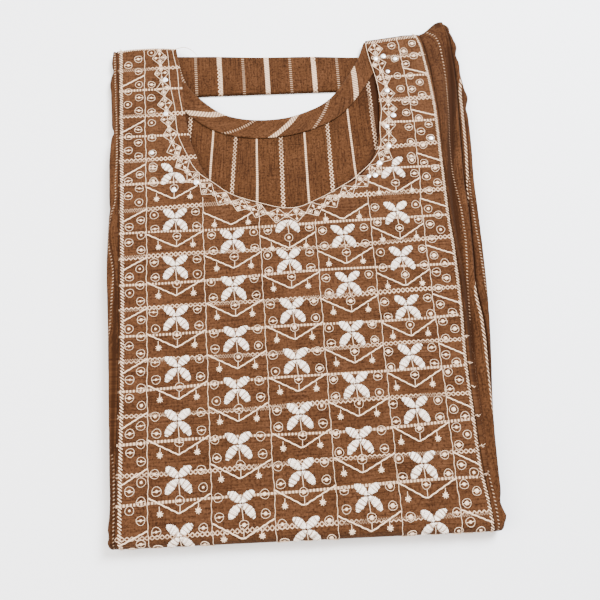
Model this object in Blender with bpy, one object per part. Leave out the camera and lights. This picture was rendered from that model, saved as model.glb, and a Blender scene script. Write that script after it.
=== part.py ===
"""A kurta tunic folded to a flat packet, front up: the cloth pieces that show, over one rounded solid
for the layers folded away inside. Lengths are in millimetres until to_metres."""
import bpy
import bmesh
import numpy as np
from mathutils import Vector
from mathutils.geometry import delaunay_2d_cdt

to_metres = 0.001

# Cloth and packet
cloth = 1.2              # wall of the fronts, side fronts and sleeves
back_cloth = 1.1
facing_cloth = 0.9
seam_gap = 0.4
layers_gap = 0.7         # from the back down to the layers folded inside
shoulder_lift = 15.8      # how far the sleeve head stands up past the right shoulder
sleeve_gap = 1.9         # between the middles of the side front's fold and the sleeve that passes under it
pack_height = 17.5       # floor to the top of the front
shoulder_height = 8.5
slope_start = 36.0       # the packet thins from here ...
slope_end = 226.0        # ... to here, towards the shoulders
fold_radius = pack_height / 2
bottom_mid = -254.8      # the bottom fold at x = 0
bottom_slope = -0.0287   # and how far it falls for each millimetre to the right
shoulder_line = 242.0
wave_height = 0.45
shoulder_roll = 0.5

# Neck
neck_middle = (0.0, 136.0)
neck_reach = (100.0, 90.0)   # half width and half length of the dip inside the neck
neck_dip = 4.5
under_front = 3.0            # from the top of the front down to the top of the back
facing_width = 21.0

# Turned-up skirt band behind the neck
band_low_left = (-95.0, 187.8)
band_low_right = (55.0, 184.0)
band_top_left = (-114.0, 236.5)
band_top_right = (82.0, 223.6)
band_left_end = -163.0
band_right_end = 160.0
band_height = 2.9
band_end_height = 3.9

# Seam between the centre front and the left side front, and the packet's left edge
left_rows = (
    # y,    seam,   edge
    (243.0, -176.4, -180.4),
    (232.0, -175.8, -181.4),
    (207.0, -174.6, -182.5),
    (180.0, -173.4, -181.6),
    (145.0, -172.6, -180.6),
    (112.0, -172.3, -182.4),
    (57.0, -171.7, -181.6),
    (6.0, -171.3, -183.4),
    (-45.0, -171.3, -182.3),
    (-113.0, -171.8, -180.9),
    (-184.0, -173.3, -179.9),
    (-222.0, -174.0, -179.6),
    (-236.0, -174.2, -181.0),
    (-262.0, -174.5, -179.4),
)

# Right side: the seam, the first ridge, the valley, the second ridge, the groove between side front
# and sleeve, the sleeve's ridge and the packet's edge, with the drop of each below the front
right_rows = (
    # y,    seam,  ridge, valley, groove, sleeve, edge; drops of valley, second ridge, groove, sleeve
    (243.0, 144.4, 154.0, 168.0, 174.0, 176.0, 177.5, 2.5, 1.2, 3.0, 2.4),
    (230.0, 147.4, 156.5, 170.6, 177.6, 180.6, 182.8, 4.5, 1.6, 4.6, 3.4),
    (205.0, 150.4, 158.5, 171.2, 178.0, 180.0, 181.8, 6.2, 2.0, 5.0, 3.8),
    (180.0, 151.3, 158.3, 169.4, 177.4, 180.4, 183.6, 7.0, 2.4, 5.2, 3.6),
    (149.0, 151.8, 157.0, 166.0, 174.4, 177.6, 182.6, 7.0, 2.0, 4.6, 3.2),
    (110.0, 149.9, 153.2, 161.4, 170.3, 174.4, 181.0, 6.4, 1.5, 4.0, 2.8),
    (68.0, 147.3, 148.6, 154.8, 167.4, 170.7, 178.0, 5.0, 1.0, 4.2, 2.8),
    (36.0, 146.7, 147.3, 152.4, 167.6, 171.6, 177.3, 4.0, 1.0, 5.0, 3.0),
    (-8.0, 147.1, 147.7, 152.0, 165.2, 170.8, 175.7, 3.0, 1.0, 5.5, 3.5),
    (-44.0, 147.4, 148.0, 152.4, 163.0, 168.8, 174.0, 3.2, 1.3, 5.3, 3.5),
    (-74.0, 145.7, 146.3, 151.6, 164.8, 168.0, 171.6, 4.8, 1.5, 5.0, 3.8),
    (-120.0, 142.7, 143.3, 148.6, 161.3, 163.6, 166.2, 5.0, 1.0, 5.2, 5.2),
    (-156.0, 142.7, 143.3, 147.6, 159.2, 160.4, 162.4, 3.0, 0.7, 5.4, 7.4),
    (-203.0, 143.2, 143.8, 147.6, 156.8, 157.4, 159.4, 1.8, 0.6, 5.4, 8.4),
    (-236.0, 145.0, 145.6, 148.6, 156.2, 156.6, 158.8, 0.8, 0.4, 5.0, 8.4),
    (-262.0, 146.6, 147.2, 149.6, 155.0, 155.4, 157.4, 0.3, 0.2, 4.6, 8.4),
)
right_columns = ("y", "seam", "ridge", "valley", "groove", "sleeve", "edge",
                 "valley_drop", "second_drop", "groove_drop", "sleeve_drop")
left_columns = ("y", "seam", "edge")

# Cut edges of the necklines, from the left shoulder round to the right
front_neckline = (
    (-114.0, 242.0), (-110.4, 215.0), (-107.2, 180.0), (-105.2, 152.0), (-98.0, 118.0), (-83.0, 84.0),
    (-60.0, 66.0), (-28.0, 50.5), (4.0, 49.5), (38.0, 63.0), (66.0, 79.5), (83.5, 106.0),
    (90.5, 137.0), (93.5, 172.0), (92.6, 207.0), (86.5, 239.0),
)
back_neckline = (
    (-114.0, 239.0), (-107.0, 206.0), (-94.8, 185.0), (-72.0, 164.0), (-46.0, 155.2), (-16.0, 153.3),
    (10.0, 157.4), (40.0, 170.6), (62.0, 195.0), (76.0, 217.0), (85.0, 238.0),
)

# Levels of the hidden layers' edge: share of the height, and how far it stands back there
layer_levels = (
    # share, set back
    (0.00, 0.9), (0.12, 0.0), (0.28, 0.1), (0.35, 1.5), (0.42, 0.1),
    (0.61, 0.1), (0.68, 1.5), (0.75, 0.1), (0.92, 0.4), (1.00, 1.8),
)

brown = (0.258, 0.088, 0.022)
inside_brown = (0.225, 0.075, 0.019)
shade_brown = (0.160, 0.052, 0.014)


def smooth(share):
    share = np.clip(share, 0.0, 1.0)
    return share * share * (3.0 - 2.0 * share)


def read(rows, columns, name, y):
    """A column of a table at y, on a smooth curve through its rows."""
    order = sorted(rows)
    known = np.array([row[0] for row in order])
    values = np.array([row[columns.index(name)] for row in order])
    slopes = np.gradient(values, known)
    y = np.clip(y, known[0], known[-1])
    span = np.clip(np.searchsorted(known, y) - 1, 0, len(known) - 2)
    width = known[span + 1] - known[span]
    t = (y - known[span]) / width
    rise = values[span + 1] - values[span]
    return (values[span] + rise * (3 * t**2 - 2 * t**3)
            + width * (slopes[span] * (t**3 - 2 * t**2 + t) + slopes[span + 1] * (t**3 - t**2)))


def left(name, y):
    return read(left_rows, left_columns, name, y)


def right(name, y):
    return read(right_rows, right_columns, name, y)


def bottom_axis(x):
    """The y of the line that the bottom fold turns round."""
    return bottom_mid + bottom_slope * x + fold_radius


def packet_height(x, y):
    """Flat over the body, lower at the shoulders, with low soft waves."""
    fall = (pack_height - shoulder_height) * smooth((y - slope_start) / (slope_end - slope_start))
    wave = np.sin(x / 31.0 + y / 47.0) * np.sin(y / 39.0 - x / 83.0)
    flat_below = smooth((y - bottom_axis(x) - 6.0) / 50.0)
    return pack_height - fall + wave_height * wave * flat_below


def front_height(x, y):
    """Top of the front, which rolls down a little at the shoulder seam."""
    roll = np.clip((y - shoulder_line + 12.0) / 12.0, 0.0, 1.2) ** 2
    return packet_height(x, y) - shoulder_roll * roll


def back_height(x, y):
    """Top of the back panel's wrong side, which sinks inside the neck."""
    reach = ((x - neck_middle[0]) / neck_reach[0]) ** 2 + ((y - neck_middle[1]) / neck_reach[1]) ** 2
    return packet_height(x, y) - under_front - neck_dip * smooth(1.0 - reach)


def layers_height(x, y):
    return back_height(x, y) - back_cloth - layers_gap


def fold_under(x, y, depth):
    """Places cloth that runs along y, depth below the front's top, turning it round the bottom fold."""
    axis = bottom_axis(x)
    turn = np.clip((axis - y) / fold_radius, 0.0, np.pi)
    flat = y >= axis
    radius = fold_radius - depth
    folded_y = np.where(flat, y, axis - radius * np.sin(turn))
    folded_z = np.where(flat, front_height(x, np.maximum(y, axis)) - depth, fold_radius + radius * np.cos(turn))
    return np.stack([x, folded_y, np.maximum(folded_z, 0.0)], axis=-1)


def spline(points, per_span):
    """A smooth curve through the points."""
    points = np.array(points, dtype=float)
    padded = np.vstack([2 * points[0] - points[1], points, 2 * points[-1] - points[-2]])
    t = np.arange(per_span)[:, None] / per_span
    runs = []
    for a, b, c, d in zip(padded[:-3], padded[1:-2], padded[2:-1], padded[3:]):
        runs.append(0.5 * (2 * b + (c - a) * t + (2 * a - 5 * b + 4 * c - d) * t**2
                           + (3 * b - a - 3 * c + d) * t**3))
    return np.vstack(runs + [points[-1:]])


def sideways(line):
    """For each point of a 2-D line, the step to its left that keeps a parallel line one unit away."""
    run = np.diff(line, axis=0)
    run /= np.linalg.norm(run, axis=1)[:, None]
    before = np.vstack([run[:1], run])
    after = np.vstack([run, run[-1:]])
    middle = before + after
    middle /= np.linalg.norm(middle, axis=1)[:, None]
    stretch = 1.0 / np.maximum((middle * after).sum(axis=1), 0.6)
    return np.stack([-middle[:, 1], middle[:, 0]], axis=1) * stretch[:, None]


def fold(edge, top, low, reach, notch=0.0):
    """Half an ellipse from depth top to depth low that turns at x = edge; reach is positive when the
    cloth lies on the left of the edge. A notch pulls its middle in, as where two folds meet."""
    angle = np.linspace(0.0, np.pi, 7)
    out = np.sin(angle)
    pull = notch * np.exp(-((angle - np.pi / 2) / 0.35) ** 2)
    return [(edge - reach * (1 - side) - np.sign(reach) * back, 0.5 * (top + low) - 0.5 * (low - top) * np.cos(turn))
            for side, back, turn in zip(out, pull, angle)]


def add_material(piece, colour, roughness=0.9):
    finish = bpy.data.materials.new(piece.name + "_finish")
    finish.use_nodes = True
    shader = finish.node_tree.nodes["Principled BSDF"]
    shader.inputs["Base Color"].default_value = (*colour, 1.0)
    shader.inputs["Roughness"].default_value = roughness
    shader.inputs["Metallic"].default_value = 0.0
    piece.data.materials.append(finish)


def add_piece(name, points, faces, colour):
    """One closed object from points in millimetres, faces outwards."""
    work = bmesh.new()
    corners = [work.verts.new(Vector(point) * to_metres) for point in np.asarray(points).tolist()]
    for face in faces:
        work.faces.new([corners[index] for index in face])
    bmesh.ops.remove_doubles(work, verts=work.verts, dist=1e-6)
    bmesh.ops.triangulate(work, faces=work.faces)
    bmesh.ops.recalc_face_normals(work, faces=work.faces)
    mesh = bpy.data.meshes.new(name)
    work.to_mesh(mesh)
    work.free()
    piece = bpy.data.objects.new(name, mesh)
    bpy.context.collection.objects.link(piece)
    mesh.shade_smooth()
    mesh.set_sharp_from_angle(angle=np.radians(50))
    add_material(piece, colour)
    return piece


def wall_between(name, outer, inner, colour):
    """A wall between two grids of points: rows of stations, columns across."""
    rows, columns = outer.shape[:2]
    near = np.arange(rows * columns).reshape(rows, columns)
    far = near + rows * columns
    faces = []
    for i in range(rows - 1):
        for j in range(columns - 1):
            faces.append((near[i, j], near[i + 1, j], near[i + 1, j + 1], near[i, j + 1]))
            faces.append((far[i, j], far[i, j + 1], far[i + 1, j + 1], far[i + 1, j]))
    rim = list(near[0, :-1]) + list(near[:-1, -1]) + list(near[-1, :0:-1]) + list(near[:0:-1, 0])
    for a, b in zip(rim, rim[1:] + rim[:1]):
        faces.append((a, b, b + rows * columns, a + rows * columns))
    points = np.vstack([outer.reshape(-1, 3), inner.reshape(-1, 3)])
    return add_piece(name, points, faces, colour)


def triangles_inside(outline, inner_points):
    """A 2-D mesh of the outline's inside that uses the given inner points."""
    count = len(outline)
    points = [Vector(point) for point in np.vstack([outline, inner_points]).tolist()]
    edges = [(i, (i + 1) % count) for i in range(count)]
    found, _, faces, _, _, _ = delaunay_2d_cdt(points, edges, [list(range(count))], 1, 1e-5)
    return np.array([tuple(point) for point in found]), [tuple(face) for face in faces]


def inner_grid(outline, x_step, y_values, margin):
    """Staggered points inside the outline, at least a margin away from it."""
    points = []
    low_x, high_x = outline[:, 0].min(), outline[:, 0].max()
    ends = np.roll(outline, -1, axis=0)
    run = ends - outline
    for row, y in enumerate(y_values):
        for x in np.arange(low_x + x_step * (0.5 + 0.5 * (row % 2)), high_x, x_step):
            share = np.clip(((x - outline[:, 0]) * run[:, 0] + (y - outline[:, 1]) * run[:, 1])
                            / (run**2).sum(axis=1), 0, 1)
            near = outline + run * share[:, None]
            distance = np.hypot(near[:, 0] - x, near[:, 1] - y).min()
            above = (outline[:, 1] > y) != (ends[:, 1] > y)
            crossing = outline[above, 0] + run[above, 0] * (y - outline[above, 1]) / run[above, 1]
            if distance > margin and (crossing > x).sum() % 2 == 1:
                points.append((x, y))
    return np.array(points).reshape(-1, 2)


def sheet_wall(name, outline, inner_points, place, thickness, colour):
    """A flat-cut cloth wall: its outline and inner points, placed in space by place(x, y, depth)."""
    flat, faces = triangles_inside(outline, inner_points)
    count = len(flat)
    top = place(flat[:, 0], flat[:, 1], 0.0)
    under = place(flat[:, 0], flat[:, 1], thickness)
    edges = {}
    for face in faces:
        for a, b in zip(face, face[1:] + face[:1]):
            edges[(a, b)] = edges.get((b, a)) is None
            if (b, a) in edges:
                edges[(b, a)] = False
    walls = [(a, b, b + count, a + count) for (a, b), alone in edges.items() if alone]
    backs = [tuple(index + count for index in reversed(face)) for face in faces]
    return add_piece(name, np.vstack([top, under]), list(faces) + walls + backs, colour)


def ribbon(name, stations, section, place, thickness, colour):
    """A folded wall: section(y) gives the middle line across, as (x, depth) below the front's top."""
    outer = []
    inner = []
    for y in stations:
        line = np.array(section(y), dtype=float)
        half = sideways(line) * thickness / 2
        half[0] = (0.0, np.copysign(thickness / 2, half[0, 1]))
        for side, rows in ((line + half, outer), (line - half, inner)):
            rows.append(place(side[:, 0], np.full(len(side), y), side[:, 1]))
    return wall_between(name, np.array(outer), np.array(inner), colour)


def turned_end(x):
    """Where the cloth of the bottom fold ends, measured along the cloth."""
    return bottom_axis(x) - np.pi * fold_radius


def bend_rows():
    """Shares of the way round the bottom fold where the cloth has a row of points."""
    return np.linspace(1.0, 0.0, 8)


def build_centre_front():
    """The embroidered centre front: neckline at the top, turned under at the bottom fold."""
    left_line = [(left("seam", y) + seam_gap / 2, y) for y in front_stations(left_end("seam"))[:-1]]
    right_line = [(right("seam", y) - seam_gap / 2, y) for y in front_stations(right_end("seam"))[:-1]]
    top_left = [(left("seam", 243.0) + seam_gap / 2, 243.0), (-160.0, 244.6), (-141.0, 244.7), (-126.0, 243.6)]
    top_right = [(100.0, 240.2), (114.0, 241.6), (128.0, 243.0), (right("seam", 243.0) - seam_gap / 2, 243.0)]
    neck = spline(front_neckline, 3)
    low_x = np.linspace(left_line[0][0], right_line[0][0], 19)[1:-1]
    low_edge = [(x, turned_end(x)) for x in low_x]
    outline = np.array(low_edge + right_line + top_right[::-1] + list(neck[::-1])
                       + top_left[::-1] + left_line[::-1])
    inner = inner_grid(outline, 18.0, np.arange(-228.0, 236.0, 17.5), 6.0)
    bend = [(x, bottom_axis(x) - np.pi * fold_radius * t) for t in bend_rows()[1:] for x in low_x]
    sheet_wall("centre_front", outline, np.vstack([inner, bend]), fold_under, cloth, brown)


def left_end(name):
    """The left table's value once the cloth has turned over the bottom edge."""
    return left(name, -262.0)


def right_end(name):
    return right(name, -262.0)


def front_stations(x):
    """Stations of a side front, from its turned end to the shoulder."""
    axis = bottom_axis(x)
    turning = [axis - np.pi * fold_radius * t for t in bend_rows()]
    return turning + [-230, -203, -156, -120, -97, -74, -44, -8, 36, 68, 90, 112, 132, 149, 165, 180, 195, 210, 222,
                      233, 243.0]


def share_of_turn(x, y):
    """0 on the flat packet, 1 where the cloth has come down to the bottom fold."""
    return smooth((bottom_axis(x) + 26.0 - y) / 26.0)


def left_front_section(y):
    seam, edge = left("seam", y) - seam_gap / 2, left("edge", y) + cloth / 2
    height = front_height(seam, np.maximum(y, bottom_axis(seam)))
    middle = cloth / 2
    turning = share_of_turn(seam, y)
    tuck = (1 - turning) * 0.5 * height + turning * 5.2
    reach = min(0.5 * (tuck - middle), 2.6, seam - edge - 1.2)
    width = seam - edge - reach
    across = np.linspace(0.0, 1.0, 5)
    dip = min(0.7, 0.035 * width**2) * np.sin(np.pi * across) ** 2
    top = np.stack([seam - width * across, middle + dip], axis=1)
    return list(top[:-1]) + fold(edge, middle, tuck, -reach) + [(min(edge + 9.0, seam + 2.0), tuck)]


def left_sleeve_section(y):
    seam, edge = left("seam", y), left("edge", y) + cloth / 2
    height = front_height(edge, y)
    top = 0.5 * height + cloth + 0.6
    floor = height - cloth / 2
    inner_end = min(edge + 9.5, seam + 3.0)
    return [(inner_end, top)] + fold(edge + 0.2, top, floor, -min(0.5 * (floor - top), 2.6)) + [(inner_end, floor)]


def right_values(y):
    at = {name: float(right(name, y)) for name in right_columns[1:]}
    height = float(front_height(at["seam"], np.maximum(y, bottom_axis(at["seam"]))))
    middle = cloth / 2
    scale = height / pack_height
    leg = middle + at["groove_drop"] * scale + 1.0
    return at, height, middle, scale, leg


def right_front_section(y):
    at, height, middle, scale, leg = right_values(y)
    second = middle + at["second_drop"] * scale
    edge = at["groove"] - middle
    reach = 0.5 * (leg - second)
    valley = middle + at["valley_drop"] * scale
    start = at["seam"] + seam_gap / 2
    ridge = max(at["ridge"], start + 0.6)
    down = np.linspace(0.0, 1.0, 6)
    falls = np.stack([ridge + (at["valley"] - ridge) * down, middle + (valley - middle) * smooth(down)], axis=1)
    up = np.linspace(0.0, 1.0, 5)[1:-1]
    rises = np.stack([at["valley"] + (edge - reach - at["valley"]) * up,
                      valley + (second - valley) * smooth(up)], axis=1)
    return ([(start, middle)] + list(falls) + list(rises) + fold(edge, second, leg, reach)
            + [(edge - reach - 2.0, leg)])


def hidden_right(y):
    """How far right the hidden layers reach."""
    return np.maximum(right("seam", y) - 3.0, right("valley", y) - 9.0)


def right_sleeve_section(y):
    """The sleeve's fold: from under the side front's fold, past its edge, over and back along the floor."""
    at, height, middle, scale, leg = right_values(y)
    floor = height - middle
    front_low, front_top = leg, middle + at["second_drop"] * scale
    front_reach = 0.5 * (front_low - front_top)
    front_centre = at["groove"] - middle - front_reach
    edge = at["edge"] - middle

    def below_front(x):
        out = np.clip((x - front_centre) / (front_reach + sleeve_gap), 0.0, 1.0)
        return front_low - front_reach + (front_reach + sleeve_gap) * np.sqrt(1.0 - out**2)

    start = front_centre - 2.2
    top = middle + at["sleeve_drop"] * scale
    reach = min(0.5 * (floor - top), 3.0)
    top = max(top, below_front(edge - reach))
    reach = min(0.5 * (floor - top), 3.0)
    x = np.linspace(start, edge - reach, 8)
    rise = np.stack([x, np.maximum(top, below_front(x))], axis=1)
    return list(rise[:-1]) + fold(edge, top, floor, reach, 0.1 * (floor - top)) + [(hidden_right(y) + 1.0, floor)]


def lift_to_shoulder(x, y, depth):
    """Places the right side's cloth, whose top end rises to the sleeve head."""
    placed = fold_under(x, y, depth)
    out = np.clip((x - right("seam", y)) / 27.0, 0.0, 1.0)
    placed[..., 1] += shoulder_lift * smooth(out) * smooth((y - 172.0) / 64.0)
    return placed


def sleeve_stations(x):
    return [bottom_axis(x) + 0.5, -230, -203, -156, -120, -97, -74, -44, -8, 36, 68, 90, 112, 132, 149, 165, 180,
            195, 210, 222, 233, 243.0]


def build_sides():
    left_front = front_stations(left_end("seam"))
    right_front = front_stations(right_end("seam"))
    ribbon("side_front_left", left_front, left_front_section, fold_under, cloth, brown)
    ribbon("side_front_right", right_front, right_front_section, lift_to_shoulder, cloth, brown)
    left_sleeve = sleeve_stations(left_end("edge"))
    right_sleeve = sleeve_stations(right_end("edge"))
    ribbon("sleeve_left", left_sleeve, left_sleeve_section, fold_under, cloth, brown)
    ribbon("sleeve_right", right_sleeve, right_sleeve_section, lift_to_shoulder, cloth, brown)


def place_back(x, y, depth):
    return np.stack([x, y, back_height(x, y) - depth], axis=-1)


def build_back():
    y = np.array([-238, -203, -156, -120, -74, -44, -8, 36, 68, 100, 132, 165, 195, 225.0])
    right_line = [(right("seam", v) - 1.6, v) for v in y]
    left_line = [(left("seam", v) + 3.4, v) for v in y]
    low_edge = [(x, -241.0) for x in np.linspace(-150.0, 125.0, 8)]
    neck = spline(back_neckline, 4)
    top_left = [(-171.0, 241.0), (-150.0, 241.6), (-132.0, 240.8)]
    top_right = [(104.0, 238.8), (122.0, 240.4), (139.0, 241.6)]
    outline = np.array(low_edge + right_line + top_right[::-1] + list(neck[::-1]) + top_left[::-1]
                       + left_line[::-1])
    rows = list(np.arange(-215.0, 20.0, 34.0)) + list(np.arange(30.0, 235.0, 15.0))
    wide = inner_grid(outline, 36.0, rows[:7], 9.0)
    close = inner_grid(outline, 17.0, rows[7:], 6.0)
    sheet_wall("back_body", outline, np.vstack([wide, close]), place_back, back_cloth, inside_brown)


def build_facing():
    line = spline(back_neckline, 3)
    across = np.linspace(0.0, facing_width, 4)
    outward = -sideways(line)
    x = line[:, None, 0] + outward[:, None, 0] * across[None, :]
    y = np.minimum(line[:, None, 1] + outward[:, None, 1] * across[None, :], 240.0)
    base = back_height(x, y) + seam_gap
    top = np.stack([x, y, base + facing_cloth], axis=-1)
    under = np.stack([x, y, base], axis=-1)
    wall_between("back_neck_facing", top, under, inside_brown)


def along(first, second, x):
    """The y at x on the line through two points."""
    return first[1] + (second[1] - first[1]) * (x - first[0]) / (second[0] - first[0])


def build_band():
    """The skirt's end, turned up behind the neck: two plies that meet in a fold at the top."""
    outer = []
    inner = []
    for x in np.linspace(band_left_end, band_right_end, 16):
        low = along(band_low_left, band_low_right, x)
        top = along(band_top_left, band_top_right, x) + 0.5 * np.sin(x / 17.0)
        height = band_height + (band_end_height - band_height) * smooth((abs(x + 12.0) - 78.0) / 30.0)
        upper, lower = height - cloth / 2, cloth / 2
        turn = fold(top - cloth / 2, upper, lower, 0.9)
        line = np.array([(low, upper)] + turn + [(low, lower)])
        half = sideways(line) * cloth / 2
        for side, rows in ((line + half, outer), (line - half, inner)):
            rows.append(np.stack([np.full(len(side), x), side[:, 0], side[:, 1]], axis=1))
    wall_between("turned_up_skirt_band", np.array(outer), np.array(inner), brown)


def build_hidden_layers():
    """The cloth folded away inside: one rounded solid, flat below, its edge in layers."""
    y = np.array([-236, -215, -190, -156, -120, -97, -74, -44, -8, 36, 68, 100, 132, 158, 176.0])
    right_line = [(float(hidden_right(v)), v) for v in y]
    left_line = [(float(left("seam", v)) + 4.5, v) for v in y]
    nose = [(x, float(bottom_axis(x)) + seam_gap) for x in np.linspace(-167.0, 139.0, 17)]
    neck = spline(back_neckline, 3)
    beside = neck + -sideways(neck) * 2.2
    low_limit = np.array([along(band_low_left, band_low_right, x) for x in beside[:, 0]]) - 2.0
    beside = beside[beside[:, 1] < low_limit]
    top_left = [(x, along(band_low_left, band_low_right, x) - 1.2) for x in (-166.0, -148.0, -130.0, -112.0)]
    top_right = [(x, along(band_low_left, band_low_right, x) - 1.2) for x in (70.0, 90.0, 110.0, 130.0, 146.0, 158.0)]
    outline = np.array(nose + right_line + top_right[::-1] + list(beside[::-1]) + top_left[::-1]
                       + left_line[::-1])
    outward = -sideways(np.vstack([outline[-1:], outline, outline[:1]]))[1:-1]
    count = len(outline)
    on_nose = np.arange(count) < len(nose)
    height = layers_height(outline[:, 0], outline[:, 1])
    rings = []
    for level, (share, back) in enumerate(layer_levels):
        ring = outline - outward * (back * np.clip(height / 13.0, 0.2, 1.0))[:, None]
        z = share * height
        rise = np.clip((level - 1) / (len(layer_levels) - 2), 0.0, 1.0)
        low, high = cloth + 0.6, height - 0.3
        nose_z = np.where(level == 0, 0.0, low + (high - low) * 0.5 * (1 - np.cos(np.pi * rise)))
        reach = (fold_radius - cloth - 0.9) * np.sin(np.pi * rise)
        ring = np.where(on_nose[:, None], outline - np.array([0.0, reach]), ring)
        z = np.where(on_nose, nose_z, z)
        rings.append(np.column_stack([ring, z]))
    rings[-1][:, 2] = layers_height(rings[-1][:, 0], rings[-1][:, 1])
    points = [point for ring in rings for point in ring]
    faces = []
    for level in range(len(rings) - 1):
        for i in range(count):
            j = (i + 1) % count
            a, b = level * count, (level + 1) * count
            faces.append((a + i, a + j, b + j, b + i))
    for ring, at_top in ((rings[0], False), (rings[-1], True)):
        step_rows = list(np.arange(-225.0, 20.0, 40.0)) + list(np.arange(40.0, 185.0, 24.0))
        inner = inner_grid(ring[:, :2], 26.0 if at_top else 60.0, step_rows, 9.0)
        flat, cap = triangles_inside(ring[:, :2], inner)
        z = layers_height(flat[:, 0], flat[:, 1]) if at_top else np.zeros(len(flat))
        start = len(points)
        points += [(a, b, c) for (a, b), c in zip(flat, z)]
        faces += [tuple(start + index for index in (face if at_top else face[::-1])) for face in cap]
    add_piece("folded_layers", points, faces, shade_brown)


def main():
    for old in list(bpy.data.objects):
        bpy.data.objects.remove(old, do_unlink=True)
    build_centre_front()
    build_sides()
    build_back()
    build_facing()
    build_band()
    build_hidden_layers()


main()
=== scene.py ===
# A kurta tunic folded to a flat packet, front up. Lengths are in millimetres until toMetres.
import bpy
import numpy as np
from mathutils import Euler, Matrix, Vector


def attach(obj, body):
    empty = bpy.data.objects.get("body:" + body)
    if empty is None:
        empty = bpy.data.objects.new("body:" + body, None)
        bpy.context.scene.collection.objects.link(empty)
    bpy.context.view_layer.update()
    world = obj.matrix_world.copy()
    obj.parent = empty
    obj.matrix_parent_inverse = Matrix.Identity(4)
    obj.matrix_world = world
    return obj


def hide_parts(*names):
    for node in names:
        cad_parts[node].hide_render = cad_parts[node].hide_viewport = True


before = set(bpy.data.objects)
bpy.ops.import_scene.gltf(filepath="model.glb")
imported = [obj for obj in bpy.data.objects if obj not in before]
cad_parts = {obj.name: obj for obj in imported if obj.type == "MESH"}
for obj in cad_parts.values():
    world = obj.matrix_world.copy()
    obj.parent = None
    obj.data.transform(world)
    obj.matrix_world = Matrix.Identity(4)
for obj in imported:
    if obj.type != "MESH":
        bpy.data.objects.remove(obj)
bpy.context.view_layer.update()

toMetres = 0.001

packet = {
    "height": 17.5, "shoulderHeight": 8.5, "slopeStart": 36.0, "slopeEnd": 226.0,
    "bottomAtMiddle": -254.8, "bottomSlope": -0.0287, "shoulderLine": 242.0, "shoulderRoll": 0.5, "rollReach": 12.0,
    "wave": 0.45, "underFront": 3.0, "neckDip": 4.5, "dipMiddle": 136.0, "dipReach": (100.0, 90.0), "cloth": 1.1,
}
foldRadius = packet["height"] / 2
cloth = packet["cloth"]
stripeStep = 25.0  # of cloth from one woven stripe to the next
topEnd, bottomEnd = 243.0, -262.0  # of the tables below

# The seam between the centre front and the left side front, the packet's left edge, the woven dash stripe
leftRows = {
    "y":    (243, 232, 207, 180, 145, 112, 90, 69, 51, 30, -5, -29, -47, -113, -184, -222, -236, -262),
    "seam": (-176.4, -175.8, -174.6, -173.4, -172.6, -172.3, -172.1, -171.9, -171.7, -171.5, -171.3, -171.3, -171.3,
             -171.8, -173.3, -174.0, -174.2, -174.5),
    "edge": (-180.4, -181.4, -182.5, -181.6, -180.6, -182.4, -182.0, -181.6, -181.8, -182.6, -183.4, -182.8, -182.3,
             -180.9, -179.9, -179.6, -181.0, -179.4),
    "dash": (-178.6, -178.2, -177.6, -176.5, -175.0, -174.3, -175.3, -174.9, -179.1, -181.0, -176.6, -177.9, -178.5,
             -184.0, -175.6, -175.2, -175.2, -175.6),
    # the painted shade of the fold between the side front and the sleeve
    "shade": (-182.0, -182.0, -182.0, -182.0, -182.0, -182.0, -182.0, -182.5, -182.5, -180.2, -175.2, -174.0,
              -174.6, -175.4, -176.6, -176.9, -177.2, -177.4),
    "shadeWidth": (1.0, 1.0, 1.0, 1.0, 1.0, 1.0, 1.0, 1.0, 1.0, 1.0, 1.2, 1.5, 2.0, 2.2, 1.2, 1.0, 1.0, 1.0),
    "shadeAmount": (0.0, 0.0, 0.0, 0.0, 0.0, 0.0, 0.0, 0.0, 0.0, 0.6, 0.85, 0.85, 0.85, 0.8, 0.75, 0.7, 0.6, 0.6),
}
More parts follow.
